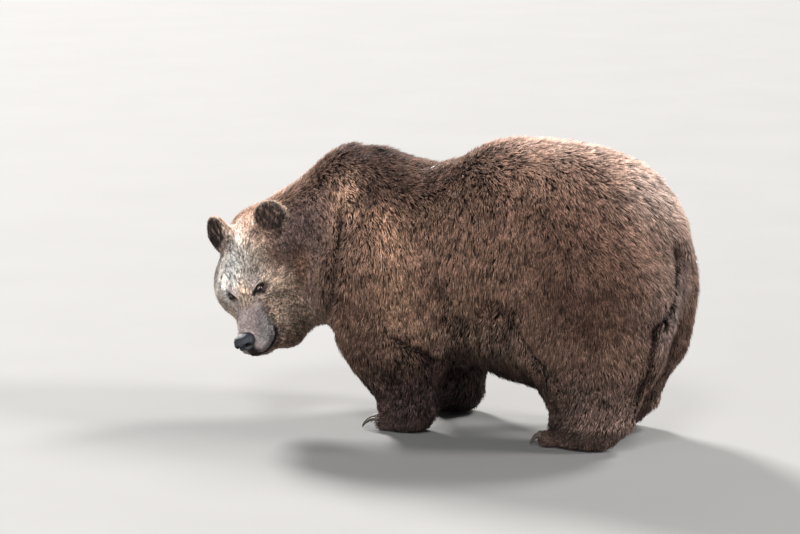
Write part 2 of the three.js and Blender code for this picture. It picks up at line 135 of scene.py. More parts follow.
# %% Camera and floor
CAMERA_AT = Vector((10.583, 5.143, 2.495))
AZIMUTH, ELEVATION, ROLL = (math.radians(a) for a in (116.83, 9.35, -0.34))
SENSOR = 36  # millimetres
PICTURE_WIDTH, FOCAL_POINTS = 800, 3483  # in picture points
FOCAL = FOCAL_POINTS / PICTURE_WIDTH * SENSOR
FLOOR_RADIUS = 60


def placed(name, data):
    """A new object in the scene."""
    made = bpy.data.objects.new(name, data)
    bpy.context.scene.collection.objects.link(made)
    return made


def object_from(shape, name):
    """A bmesh as a new object."""
    mesh = bpy.data.meshes.new(name)
    shape.to_mesh(mesh)
    shape.free()
    return placed(name, mesh)


back = Vector((
    math.sin(AZIMUTH) * math.cos(ELEVATION),
    -math.cos(AZIMUTH) * math.cos(ELEVATION),
    math.sin(ELEVATION),
))
lens = bpy.data.cameras.new("camera")
lens.lens = FOCAL
lens.sensor_width = SENSOR
lens.clip_end = 200
camera = placed("camera", lens)
camera.rotation_mode = "QUATERNION"
camera.location = CAMERA_AT
camera.rotation_quaternion = (
    Matrix.Rotation(ROLL, 3, back) @ (-back).to_track_quat("-Z", "Y").to_matrix()
).to_quaternion()
bpy.context.scene.camera = camera

disc = bmesh.new()
bmesh.ops.create_circle(disc, cap_ends=True, radius=FLOOR_RADIUS, segments=96)
floor = object_from(disc, "floor")
floor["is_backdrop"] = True
print("camera lens", round(FOCAL, 1), "mm")

# %% [markdown]
# Each material is built by code from small helpers: one that adds a node, and one that joins
# two sockets. What is the same all over a surface is set on the shader's own socket.

# %% Material helpers


def new_material(name, **settings):
    material = bpy.data.materials.new(name)
    material.use_nodes = True
    shader = material.node_tree.nodes["Principled BSDF"]
    for key, value in settings.items():
        shader.inputs[key.replace("_", " ")].default_value = value
    return material, shader


def node(material, kind, **settings):
    made = material.node_tree.nodes.new(kind)
    for key, value in settings.items():
        if hasattr(made, key):
            setattr(made, key, value)
        else:
            made.inputs[key.replace("_", " ")].default_value = value
    return made


def join(material, out, to):
    material.node_tree.links.new(out, to)


def read(material, name):
    return node(material, "ShaderNodeAttribute", attribute_name=name)


def noise(material, scale, detail=3.0, rough=0.5, stretch=None):
    """Noise on Object coordinates, which may be stretched."""
    place = node(material, "ShaderNodeTexCoord").outputs["Object"]
    if stretch:
        mapping = node(material, "ShaderNodeMapping", Scale=stretch)
        join(material, place, mapping.inputs["Vector"])
        place = mapping.outputs["Vector"]
    texture = node(material, "ShaderNodeTexNoise", Scale=scale, Detail=detail, Roughness=rough)
    join(material, place, texture.inputs["Vector"])
    return texture.outputs["Fac"]


def ranged(material, value, low, high, to_low, to_high):
    made = node(material, "ShaderNodeMapRange")
    for key, number in (("From Min", low), ("From Max", high), ("To Min", to_low), ("To Max", to_high)):
        made.inputs[key].default_value = number
    join(material, value, made.inputs["Value"])
    return made.outputs["Result"]


def mixed(material, how, share, first, second):
    """A colour mix; each input is a socket or a plain value."""
    made = node(material, "ShaderNodeMix", data_type="RGBA", blend_type=how)
    for index, value in ((0, share), (6, first), (7, second)):
        socket = made.inputs[index]
        if isinstance(value, bpy.types.NodeSocket):
            join(material, value, socket)
        elif isinstance(value, tuple):
            socket.default_value = (*value, 1)
        else:
            socket.default_value = value
    return made.outputs[2]


def bumped(material, shader, height, distance, strength=1.0):
    made = node(material, "ShaderNodeBump", Distance=distance, Strength=strength)
    join(material, height, made.inputs["Height"])
    join(material, made.outputs["Normal"], shader.inputs["Normal"])


# %% [markdown]
# The studio is a pale floor under soft light. The strongest light comes from beyond the bear,
# so that its far side, its crest and the edge of its rump are bright, and two weak lights on the
# camera's side fill the shadows. The lamps are far suns, so they light the floor evenly.

# %% Lights, and the floor's finish
FLOOR_COLOUR = (0.152, 0.152, 0.150)
SKY_COLOUR, SKY_STRENGTH = (0.93, 0.96, 1.0), 0.32

floor_finish, shader = new_material("pale_floor", Roughness=0.9)
join(
    floor_finish,
    mixed(floor_finish, "MULTIPLY", 0.12, FLOOR_COLOUR, noise(floor_finish, 1.5)),
    shader.inputs["Base Color"],
)
floor.data.materials.append(floor_finish)

world = bpy.data.worlds.new("studio")
world.use_nodes = True
sky = world.node_tree.nodes["Background"]
sky.inputs["Color"].default_value = (*SKY_COLOUR, 1)
sky.inputs["Strength"].default_value = SKY_STRENGTH
bpy.context.scene.world = world
bpy.context.scene.view_settings.view_transform = "Standard"


def soft_sun(name, towards_it, angle, strength, colour):
    """A far lamp that looks so many degrees wide, which softens its shadows."""
    lamp = bpy.data.lights.new(name, "SUN")
    lamp.angle = math.radians(angle)
    lamp.energy = strength
    lamp.color = colour
    made = placed(name, lamp)
    made.rotation_mode = "QUATERNION"
    made.rotation_quaternion = Vector(towards_it).to_track_quat("Z", "Y")


WARM_LIGHT, PLAIN_LIGHT = (1.0, 0.97, 0.94), (1.0, 0.99, 0.98)
soft_sun("ahead", (-0.59, -0.64, 0.49), 12, 8.0, WARM_LIGHT)
soft_sun("behind", (-0.66, 0.31, 0.70), 17, 4.6, WARM_LIGHT)
soft_sun("rump_edge", (-0.18, 0.88, 0.43), 16, 5.0, WARM_LIGHT)
soft_sun("camera_side", (0.70, 0.20, 0.68), 17, 2.7, PLAIN_LIGHT)
soft_sun("low_fill", (0.98, -0.12, 0.12), 28, 1.6, PLAIN_LIGHT)
print("lamps:", len(bpy.data.lights))

# %% [markdown]
# The skin is one closed surface. The flesh solids are copied, grown by a millimetre so that
# the thin cuts between them close, and wrapped again in small even faces by a voxel remesh.
# The solids are faceted, so the wrapped surface is smoothed by turns outwards and inwards,
# which takes the facets away and keeps the volume.

# %% Wrap the flesh in one skin
GROW = 0.001
VOXEL = 0.009


def grown_copy(names, out):
    whole = bmesh.new()
    for name in names:
        piece = bmesh.new()
        piece.from_mesh(NODES[name].data)
        bmesh.ops.remove_doubles(piece, verts=piece.verts, dist=1e-5)
        piece.normal_update()
        for vertex in piece.verts:
            vertex.co += vertex.normal * out
        mesh = bpy.data.meshes.new(name)
        piece.to_mesh(mesh)
        piece.free()
        whole.from_mesh(mesh)
        bpy.data.meshes.remove(mesh)
    return whole


flesh = object_from(grown_copy(FLESH, GROW), "flesh")
wrap = flesh.modifiers.new("wrap", "REMESH")
wrap.mode = "VOXEL"
wrap.voxel_size = VOXEL
wrapped = bpy.data.meshes.new_from_object(
    flesh.evaluated_get(bpy.context.evaluated_depsgraph_get())
)
bpy.data.objects.remove(flesh)
print("wrapped flesh:", len(wrapped.vertices), "points")


def numbers(items, name, kind, width):
    values = np.zeros(len(items) * width, kind)
    items.foreach_get(name, values)
    return values.reshape(-1, width) if width > 1 else values


def places_and_edges(mesh):
    places = numbers(mesh.vertices, "co", np.float32, 3).astype(float)
    return places, numbers(mesh.edges, "vertices", np.int32, 2)


def moved(mesh, places):
    mesh.vertices.foreach_set("co", places.astype(np.float32).ravel())
    mesh.update()


def spread(values, edges, rounds, share):
    """Each value moved towards the mean of its neighbours, round by round."""
    values = np.array(values, float)
    flat = values.reshape(len(values), -1)
    a, b = edges.T
    degree = np.maximum(np.bincount(edges.ravel(), minlength=len(flat)), 1)
    share = np.broadcast_to(share, len(flat))
    for _ in range(rounds):
        for k in range(flat.shape[1]):
            mean = np.bincount(a, flat[b, k], len(flat)) + np.bincount(b, flat[a, k], len(flat))
            flat[:, k] += share * (mean / degree - flat[:, k])
    return flat.reshape(values.shape)


def smoothed(places, edges, rounds, where):
    """Outwards and inwards by turns, so that what is smoothed keeps its size."""
    for _ in range(rounds):
        places = spread(places, edges, 1, 0.55 * where)
        places = spread(places, edges, 1, -0.57 * where)
    return places


def flesh_tree():
    """A search tree over the flesh solids, and the node that each of its faces belongs to."""
    places, faces, owners = [], [], []
    for name in FLESH:
        mesh = NODES[name].data
        start = len(places)
        places += [v.co.copy() for v in mesh.vertices]
        faces += [[start + i for i in p.vertices] for p in mesh.polygons]
        owners += [name] * len(mesh.polygons)
    return BVHTree.FromPolygons(places, faces), owners


tree, owners = flesh_tree()


def kinds_at(places):
    """The flesh solid nearest to each place, named without its side."""
    names = [owners[tree.find_nearest(p)[2]] for p in places]
    return np.array([n.replace("_left", "").replace("_right", "") for n in names])


places, edges = places_and_edges(wrapped)
# how strongly the wrapped surface is smoothed, part by part; the other parts fully
SMOOTHING = {"ear": 0.25, "muzzle": 0.5, "lower_jaw": 0.6, "forepaw": 0.45, "hindpaw": 0.45}
SMOOTH_ROUNDS = 45
where = spread(np.array([SMOOTHING.get(k, 1.0) for k in kinds_at(places)]), edges, 6, 0.5)
places = smoothed(places, edges, SMOOTH_ROUNDS, where)
moved(wrapped, places)

# %% [markdown]
# The face needs finer faces than the back does. The edges of the head and of the low flank are
# cut once, those of the muzzle and ears twice, and those round the eyes and the mouth three times.

# %% Finer faces on the head
EYE_LEFT = in_head(eye_left)
EYE_RADIUS = 0.0125
EAR_MIDDLE, EAR_ROUND = (-0.07, 0.11, 0.15), 0.095  # a ball that holds the left ear
FLANK_MIDDLE, FLANK_HALF = (0.07, 0.42), (0.25, 0.20)  # its grooves, along the body and up
# Half the line where the lips meet, from below the nose back to the corner of the mouth.
MOUTH = np.array([
    [0.345, 0.000, -0.096],
    [0.338, 0.010, -0.104],
    [0.318, 0.026, -0.114],
    [0.296, 0.038, -0.120],
    [0.276, 0.048, -0.120],
    [0.257, 0.060, -0.109],
    [0.243, 0.067, -0.090],
])


def from_polyline(points, line):
    """How far each point is from a line of straight lengths, and how far along it, from 0 to 1."""
    best = np.full(len(points), np.inf)
    along = np.zeros(len(points))
    for i, (a, b) in enumerate(zip(line, line[1:])):
        step = b - a
        t = np.clip((points - a) @ step / (step @ step), 0, 1)
        far = np.linalg.norm(points - (a + t[:, None] * step), axis=1)
        closer = far < best
        best = np.where(closer, far, best)
        along = np.where(closer, (i + t) / (len(line) - 1), along)
    return best, along


def fineness(places):
    """How many times the edges at each place are cut; the grooves of the flank count as well."""
    q = left_head(places)
    ear = np.linalg.norm(q - EAR_MIDDLE, axis=1) < EAR_ROUND
    face = (q[:, 0] > -0.02) & (q[:, 1] < 0.16) & (q[:, 2] > -0.26) & (q[:, 2] < 0.25)
    times = np.where(face | ear, 1, 0)
    body = left_body(places)
    flank = (body[:, 0] > 0.17) & (np.abs(body[:, 1:] - FLANK_MIDDLE) < FLANK_HALF).all(1)
    times[flank] = 1
    times[(q[:, 0] > 0.11) & face & (q[:, 2] > -0.16)] = 2
    times[ear] = 2
    eye = np.linalg.norm(q - EYE_LEFT, axis=1)
    times[eye < 0.034] = 3
    mouth, _ = from_polyline(q, MOUTH)
    times[mouth < 0.016] = 3
    return times


shape = bmesh.new()
shape.from_mesh(wrapped)
bpy.data.meshes.remove(wrapped)
for level in (1, 2, 3):
    shape.verts.ensure_lookup_table()
    at = np.array([v.co for v in shape.verts])
    fine = fineness(at) >= level
    chosen = [e for e in shape.edges if fine[e.verts[0].index] and fine[e.verts[1].index]]
    bmesh.ops.subdivide_edges(shape, edges=chosen, cuts=1, use_grid_fill=True)
    shape.verts.index_update()
skin = object_from(shape, "skin")
mesh = skin.data
places, edges = places_and_edges(mesh)
times = fineness(places)
places = smoothed(places, edges, 12, np.where(times > 0, 0.9, 0.0))
print("skin:", len(places), "points,", sum(len(p.vertices) - 2 for p in mesh.polygons), "triangles")

# %% [markdown]
# The skin lies inside the solids by the coat's depth, which differs from part to part: deep on
# the back and haunches, shallow on the feet, and almost nothing on the muzzle. Depth, tuft
# length and tuft width are named for each part, then spread over the skin so that one part
# runs into the next.

# %% Depth of the coat
# depth of the coat, length and half width of a tuft, in millimetres
COAT = {
    "trunk": (30, 54, 1.9),
    "neck": (27, 50, 1.8),
    "upper_arm": (27, 52, 1.9),
    "forearm": (20, 44, 1.8),
    "forepaw": (8, 20, 1.3),
    "thigh": (30, 56, 1.9),
    "shank": (21, 46, 1.8),
    "hindpaw": (8, 20, 1.3),
    "tail": (24, 50, 1.9),
    "head": (14, 30, 1.7),
    "lower_jaw": (13, 29, 1.7),
    "muzzle": (13, 27, 1.5),
    "ear": (5, 17, 1.15),
}
BARE_FACE = np.array([2.4, 8.0, 0.75]) / 1000  # the same, on the muzzle and round the eyes


def normals_of(places, faces):
    """Smooth normals, weighted by area; faces are triangles."""
    corners = places[faces]
    flat = np.cross(corners[:, 1] - corners[:, 0], corners[:, 2] - corners[:, 0])
    total = np.zeros_like(places)
    for k in range(3):
        for axis in range(3):
            total[:, axis] += np.bincount(faces[:, k], flat[:, axis], len(places))
    return unit(total)


def bell(distance, reach):
    return np.exp(-((distance / reach) ** 2))


def ramp(value, low, high):
    t = np.clip((value - low) / (high - low), 0, 1)
    return t * t * (3 - 2 * t)


def lump(points, at, reach):
    """1 at a place, falling softly to 0 past its reach along each axis."""
    return np.exp(-(((points - at) / reach) ** 2).sum(1))


def waves(p, scale, seed):
    """Soft random waves from -1 to 1, the same on every run."""
    draw = np.random.default_rng(seed)
    total = np.zeros(len(p))
    for _ in range(6):
        total += np.sin(p @ (draw.normal(size=3) * scale) + draw.random() * 2 * math.pi)
    return total / 3


def muzzle_share(q):
    """1 on the short fur of the muzzle, whose edge slants from the eye to the mouth's corner."""
    edge = 0.176 + 0.56 * (0.02 - q[:, 2]) + 0.006 * waves(q, 55, 8)
    edge += 0.050 * (1 - ramp(np.abs(q[:, 1]), 0.016, 0.042)) * ramp(q[:, 2], -0.05, 0.0)
    ahead = ramp(q[:, 0] - edge, -0.020, 0.016)
    near = (1 - ramp(np.abs(q[:, 1]), 0.10, 0.13)) * (1 - ramp(q[:, 2], 0.07, 0.10))
    return ahead * near * ramp(q[:, 2], -0.165, -0.140) * ramp(q[:, 0], 0.10, 0.15)


mesh.calc_loop_triangles()
triangles = numbers(mesh.loop_triangles, "vertices", np.int32, 3)
kinds = kinds_at(places)
coat = spread(np.array([COAT[k] for k in kinds]) / 1000, edges, 40, 0.5)
face_q = left_head(places)
on_face = ramp(in_head(places)[:, 0], -0.03, 0.05)
# The fur of the forehead and round the eyes is shorter than that of the cheeks.
round_eye = lump(face_q, EYE_LEFT + [0.006, -0.004, -0.004], [0.028, 0.022, 0.022])
forehead = lump(face_q, [0.17, 0.0, 0.06], [0.11, 0.07, 0.06])
bare = np.clip(np.maximum(muzzle_share(face_q), 1.3 * round_eye), 0, 1) * on_face
coat = coat * (1 - np.outer(forehead * on_face, [0.5, 0.45, 0.35]))
coat = coat * (1 - bare[:, None]) + BARE_FACE * bare[:, None]
coat = spread(coat, edges, 4, 0.5)
shallow, deep = (np.array([coat[:, 0].min(), coat[:, 0].max()]) * 1000).round(1)
print("coat depth", shallow, "to", deep, "mm")

# %% [markdown]
# Under the coat, a living body has folds: one where the neck meets the shoulder, one behind the
# elbow, one before the thigh, the cleft between the haunches and a row of grooves low on the
# flank. Each is a line on the body's surface, along which the skin is drawn in. The face has
# lumps and hollows of the same kind: low brows, eye sockets, cheekbones and the lips' swell.

# %% Folds of the body, lumps of the face
# (name, points on the left side, half width, depth), in the body's frame
FOLDS = [
    ("neck and shoulder", [
        (0.190, -0.560, 0.820), (0.239, -0.535, 0.740), (0.275, -0.524, 0.674),
        (0.330, -0.508, 0.593), (0.349, -0.506, 0.531), (0.345, -0.516, 0.478),
        (0.328, -0.538, 0.425), (0.250, -0.590, 0.370),
    ], 0.015, 0.044),
    ("behind the elbow", [
        (0.347, -0.306, 0.377), (0.332, -0.235, 0.339), (0.296, -0.177, 0.303),
        (0.237, -0.158, 0.239),
    ], 0.017, 0.020),
    ("before the thigh", [
        (0.367, 0.183, 0.512), (0.356, 0.166, 0.455), (0.345, 0.178, 0.404),
        (0.341, 0.221, 0.339), (0.351, 0.281, 0.302), (0.330, 0.300, 0.250),
    ], 0.014, 0.038),
    ("between the haunches", [
        (0.085, 0.623, 0.741), (0.062, 0.657, 0.653), (0.138, 0.683, 0.512),
        (0.250, 0.651, 0.435), (0.242, 0.621, 0.257), (0.219, 0.555, 0.120),
    ], 0.024, 0.024),
    ("flank, first", [
        (0.320, -0.119, 0.557), (0.313, -0.121, 0.512), (0.300, -0.111, 0.453),
        (0.274, -0.117, 0.379),
    ], 0.009, 0.020),
    ("flank, second", [
        (0.322, -0.052, 0.467), (0.304, -0.068, 0.422), (0.261, -0.093, 0.359),
        (0.236, -0.090, 0.313),
    ], 0.0095, 0.026),
    ("flank, third", [
        (0.328, -0.016, 0.457), (0.301, -0.038, 0.397), (0.253, -0.062, 0.329),
        (0.202, -0.047, 0.270),
    ], 0.0095, 0.026),
    ("flank, fourth", [
        (0.345, 0.037, 0.484), (0.331, 0.025, 0.434), (0.300, 0.011, 0.366),
        (0.234, 0.006, 0.280),
    ], 0.0105, 0.030),
    ("flank, fifth", [
        (0.362, 0.096, 0.545), (0.352, 0.090, 0.489), (0.340, 0.082, 0.436),
        (0.302, 0.065, 0.347), (0.250, 0.060, 0.280),
    ], 0.0105, 0.032),
    ("flank, sixth", [
        (0.363, 0.144, 0.508), (0.352, 0.132, 0.466), (0.342, 0.126, 0.423),
        (0.317, 0.123, 0.361), (0.270, 0.125, 0.300),
    ], 0.0105, 0.032),
]
# (name, place and reach in the head's frame, how far out)
FACE_LUMPS = [
    ("brow", (0.148, 0.055, 0.056), (0.032, 0.030, 0.015), 0.007),
    ("socket", (0.176, 0.048, 0.022), (0.026, 0.018, 0.020), -0.008),
    ("tear line", (0.196, 0.034, 0.012), (0.022, 0.010, 0.014), -0.004),
    ("cheekbone", (0.150, 0.088, -0.010), (0.030, 0.030, 0.020), 0.005),
    ("side of the muzzle", (0.235, 0.050, -0.040), (0.045, 0.022, 0.024), -0.007),
    ("bridge", (0.240, 0.000, 0.012), (0.090, 0.016, 0.020), 0.003),
    ("upper lip", (0.296, 0.040, -0.092), (0.036, 0.022, 0.018), 0.005),
    ("lower lip", (0.290, 0.030, -0.135), (0.040, 0.025, 0.010), 0.003),
    ("cheek", (0.175, 0.095, -0.085), (0.040, 0.040, 0.045), 0.006),
]


def folded(p):
    """How deep in a fold each place is, as a length and as a share of 1."""
    body = left_body(p)
    depth, share = np.zeros(len(body)), np.zeros(len(body))
    for _, points, half, deep in FOLDS:
        points = np.array(points)
        close = (np.abs(body - points.mean(0)) < np.ptp(points, axis=0) / 2 + 4 * half).all(1)
        gap, along = from_polyline(body[close], points)
        # a fold fades in over the first fifth of its line, and out over the last
        ends = ramp(along, 0.0, 0.2) * (1 - ramp(along, 0.8, 1.0))
        weight = bell(gap, half) * ends
        depth[close] = np.maximum(depth[close], deep * weight)
        share[close] = np.maximum(share[close], weight)
    return depth, share


normals = normals_of(places, triangles)
fold_depth, fold_share = folded(places)
# In and beside a fold the tufts are shorter, and the painted shade of the fold spreads a little.
coat[:, 1] *= 1 - 0.55 * fold_share**0.35
fold_share = fold_share**0.55
coat = np.c_[coat, fold_share]
out = -fold_depth
for _, at, reach, high in FACE_LUMPS:
    out += high * lump(face_q, at, reach) * on_face
places = places + normals * (out - coat[:, 0])[:, None]
places = smoothed(places, edges, 3, np.full(len(places), 0.6))
normals = normals_of(places, triangles)
print("folds:", len(FOLDS), "lumps of the face:", len(FACE_LUMPS))

# %% [markdown]
# A bear's eyes are small and set deep, under a low brow, with dark naked lids. The lids belong
# to the skin: round each eye, the skin is drawn onto a sphere a little larger than the ball,
# and inside the slit it is tucked behind the ball.

# %% Lids
LID = 0.0014  # the thickness of a lid
SLIT = (0.0125, 0.0078)  # half the length and half the height of the slit
LID_REACH = 0.020
EYE_ROUND = 0.04  # nothing further from the eye moves
LOOK = unit(np.array([0.60, 0.54, 0.56]))  # where the left eye looks, in the head's frame
SLIT_WAY = np.array([-0.58, 0.78, 0.18])  # from the inner corner of the left eye to the outer


def eye_axes(side):
    """The eye's own axes as rows: along the slit outwards, across it upwards, and out."""
    out, way = LOOK * [1, side, 1], SLIT_WAY * [1, side, 1]
    along = unit(way - out * (way @ out))
    return np.stack([along, np.cross(out, along) * side, out])


def add_lids(q, side):
    """Skin places in the head's frame, with the lids of one eye formed."""
    at = EYE_LEFT * [1, side, 1]
    axes = eye_axes(side)
    local = (q - at) @ axes.T
    near_eye = np.linalg.norm(local, axis=1) < EYE_ROUND
    a = local[:, 0] / SLIT[0]
    b = local[:, 1] / (SLIT[1] * (1 - 0.6 * a**2).clip(0.2))
    inside = (a**2 + b**2 < 1) & (local[:, 2] > 0)
    flat = np.linalg.norm(local[:, :2], axis=1)
    shell = EYE_RADIUS + LID
    near = (1 - ramp(flat, EYE_RADIUS * 0.75, LID_REACH)) * (local[:, 2] > -0.010)
    height = np.sqrt(np.maximum(shell**2 - flat**2, 0.3 * shell**2))
    lidded = local.copy()
    lidded[:, 2] += near * (height - local[:, 2])
    lidded[inside, 2] = 0.0
    return np.where(near_eye[:, None], lidded @ axes + at, q)


q = in_head(places)
for side in (1, -1):
    q = add_lids(q, side)
places = from_head(q)
print("lids", LID * 1000, "mm thick")

# %% [markdown]
# The mouth is closed: a dark line between the lips that runs back from below the nose, dips and
# turns up at its corner. The skin is drawn in along it, and the lips swell beside it.

# %% Mouth
GROOVE_HALF, GROOVE_DEPTH = 0.0032, 0.0075
LIP_AT, LIP_HALF, LIP_SWELL = 0.0075, 0.004, 0.0022  # from the groove, half width, and height


def shade_smooth(mesh):
    mesh.polygons.foreach_set("use_smooth", np.ones(len(mesh.polygons), bool))


normals = normals_of(places, triangles)
gap, _ = from_polyline(left_head(places), MOUTH)
groove = bell(gap, GROOVE_HALF) * GROOVE_DEPTH
swell = bell(gap - LIP_AT, LIP_HALF) * LIP_SWELL
places = places + normals * (swell - groove)[:, None]
places = smoothed(places, edges, 2, np.where(times > 1, 0.5, 0.0))
normals = normals_of(places, triangles)
moved(mesh, places)
shade_smooth(mesh)
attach(skin, "root")
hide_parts(*FLESH)
print("mouth formed; skin fits the flesh nodes:", len(FLESH))

# %% [markdown]
# The markings belong to the animal, with painted light and shade laid in among them, and the skin
# and the coat both take them from here: a brown coat, darker on the hump, the collar and the legs,
# lighter behind the shoulder, and a tan face with a pale forehead, a grey-pink muzzle, and dark
# skin round the eyes and lips. The forehead's right half is pale with painted sunlight. Painted
# sunlight also lies on the back, the rump, the shoulder's point and the ears' upper rims, the
# muzzle's side is partly painted light, and painted shade lies in the folds and under the belly.
# Each marking is a named soft patch with its own colour.

# %% Markings
BROWN = (0.195, 0.118, 0.086)
HUMP_BROWN = (0.040, 0.024, 0.019)
WARM = (0.430, 0.265, 0.182)
# painted sunlight, for the shoulder's point
SUNLIT_WARM = (0.600, 0.385, 0.270)
DARK = (0.082, 0.056, 0.053)
SHANK_BROWN = (0.245, 0.168, 0.142)
# painted shade, for the folds and under the belly
PAINTED_SHADE = (0.030, 0.018, 0.015)
DARK_BROWN = (0.100, 0.057, 0.042)
COLLAR = (0.115, 0.078, 0.070)
TAN = (0.370, 0.285, 0.222)
PALE = (0.620, 0.590, 0.560)
FACE_BROWN = (0.150, 0.112, 0.085)
CHEEK_TAN = (0.500, 0.385, 0.305)
GREY_PINK = (0.315, 0.258, 0.250)
MUZZLE_GREY = (0.400, 0.370, 0.372)
LIP_GREY = (0.470, 0.448, 0.450)
# painted sunlight, for the top of the back and the rump
PAINTED_SUNLIGHT = (0.400, 0.320, 0.280)
GREYED = (0.225, 0.180, 0.165)
BLACK = (0.012, 0.010, 0.010)
INNER_EAR = (0.022, 0.015, 0.013)
# painted backlight, for the ears' upper rims
PAINTED_RIM_LIGHT = (0.240, 0.190, 0.145)
LID_SKIN = (0.115, 0.078, 0.072)

BODY_STRENGTH, HEAD_STRENGTH = 1.3, 1.4  # times each patch's own strength
# (name, place and reach in the body's frame, colour, strength)
PATCHES = [
    ("hump", (0, -0.50, 0.96), (0.36, 0.27, 0.17), HUMP_BROWN, 1.0),
    ("upper shoulder", (0.20, -0.40, 0.85), (0.20, 0.18, 0.11), HUMP_BROWN, 0.7),
    ("saddle", (0.25, -0.05, 0.88), (0.30, 0.26, 0.12), HUMP_BROWN, 0.35),
    # painted sunlight on the shoulder's point, where the light from ahead falls
    ("shoulder point", (0.24, -0.56, 0.76), (0.14, 0.06, 0.09), SUNLIT_WARM, 1.2),
    ("shoulder", (0.33, -0.40, 0.55), (0.16, 0.10, 0.14), DARK_BROWN, 0.12),
    # painted sunlight on the top of the back and the rump, where the lights from behind fall
    ("back", (0, 0.34, 1.02), (0.24, 0.34, 0.09), PAINTED_SUNLIGHT, 0.35),
    ("rump", (0, 0.62, 0.90), (0.30, 0.16, 0.16), PAINTED_SUNLIGHT, 0.8),
    ("haunch", (0.34, 0.44, 0.68), (0.20, 0.24, 0.30), DARK_BROWN, 1.1),
    ("low flank", (0.30, 0.02, 0.35), (0.16, 0.22, 0.10), TAN, 0.30),
    # painted shade under the belly, where the body shades itself
    ("belly", (0, 0.08, 0.17), (0.45, 0.46, 0.16), PAINTED_SHADE, 1.3),
    ("elbow", (0.30, -0.30, 0.30), (0.20, 0.20, 0.12), DARK_BROWN, 0.55),
    ("fore legs", (0.20, -0.30, 0.04), (0.28, 0.28, 0.20), DARK, 0.9),
    ("hind legs", (0.22, 0.42, -0.06), (0.26, 0.36, 0.20), DARK, 0.40),
    ("shank", (0.32, 0.47, 0.17), (0.16, 0.17, 0.13), SHANK_BROWN, 0.7),
    ("under the tail", (0, 0.62, 0.36), (0.10, 0.20, 0.26), COLLAR, 0.9),
    ("back of the haunches", (0, 0.71, 0.48), (0.32, 0.10, 0.28), GREYED, 0.7),
    ("collar", (0.22, -0.63, 0.62), (0.10, 0.10, 0.24), COLLAR, 1.0),
    ("throat", (0.26, -0.59, 0.54), (0.12, 0.10, 0.16), DARK_BROWN, 1.2),
]
SHOULDER_BAND = np.array([
    (0.250, -0.370, 0.750), (0.272, -0.338, 0.723), (0.305, -0.295, 0.628),
    (0.315, -0.268, 0.512), (0.315, -0.243, 0.411),
])
# The left ear's middle, the way that its opening faces, and the way to its upper edge; the middle
# of the nose; and the dark line from the eye's inner corner, all in the head's frame.
EAR_AT = np.array([-0.069, 0.105, 0.135])
EAR_OPENING = unit(np.array([0.66, 0.5, 0.56]))
EAR_TOP = unit(np.array([-0.35, 0.45, 0.82]))
NOSE_AT = np.array([0.342, 0, -0.037])
TEAR_LINE = np.array([[0.166, 0.047, 0.034], [0.176, 0.037, 0.027], [0.185, 0.030, 0.020]])
# (name, place and reach in the head's frame, colour, strength)
HEAD_PATCHES = [
    ("face", (0.10, 0.0, -0.02), (0.18, 0.19, 0.20), TAN, 0.9),
    ("temple", (0.07, 0.11, 0.07), (0.085, 0.055, 0.060), DARK_BROWN, 0.8),
    ("behind the ear", (-0.04, 0.17, 0.07), (0.10, 0.06, 0.10), COLLAR, 1.1),
    ("neck side", (0.02, 0.205, 0.02), (0.13, 0.045, 0.13), COLLAR, 1.1),
    ("crown", (-0.10, 0.0, 0.14), (0.09, 0.12, 0.06), BROWN, 0.7),
    ("forehead", (0.11, 0.035, 0.085), (0.08, 0.040, 0.05), FACE_BROWN, 1.1),
    ("brow", (0.150, 0.050, 0.058), (0.035, 0.026, 0.014), PALE, 0.25),
    ("cheek", (0.18, 0.10, -0.07), (0.09, 0.07, 0.09), CHEEK_TAN, 1.1),
    ("under the ear", (0.06, 0.17, -0.02), (0.07, 0.05, 0.08), BROWN, 0.7),
    ("jaw", (0.12, 0.0, -0.26), (0.20, 0.16, 0.07), BROWN, 0.9),
]


def washed(colour, weight, over):
    """A colour with another laid over it, as strongly as the weight says."""
    weight = np.clip(weight, 0, 1)[:, None]
    return colour * (1 - weight) + weight * over


def muzzle_marks(colour, p, head):
    muzzle = muzzle_share(head)
    colour = washed(colour, muzzle, GREY_PINK)
    # The grey of the muzzle's side is partly its own tone and partly painted light: it is lighter than
    # the top to stand in for the fill that falls on that side.
    beside = ramp(head[:, 1], 0.028, 0.050) * ramp(head[:, 0], 0.17, 0.24)
    colour = washed(colour, 0.8 * muzzle * beside, MUZZLE_GREY)
    lip = lump(head, (0.275, 0.050, -0.075), (0.045, 0.030, 0.030))
    colour = washed(colour, 0.9 * muzzle * lip, LIP_GREY)
    bridge = lump(head, (0.19, 0.0, 0.04), (0.06, 0.022, 0.03))
    colour = washed(colour, 0.9 * bridge, TAN)
    mottle = 0.16 * waves(p, 110, 21) + 0.10 * waves(p, 300, 22)
    colour = colour * (1 + muzzle * mottle)[:, None]
    chin = lump(head, (0.31, 0.0, -0.145), (0.05, 0.05, 0.022))
    return washed(colour, chin, DARK_BROWN)


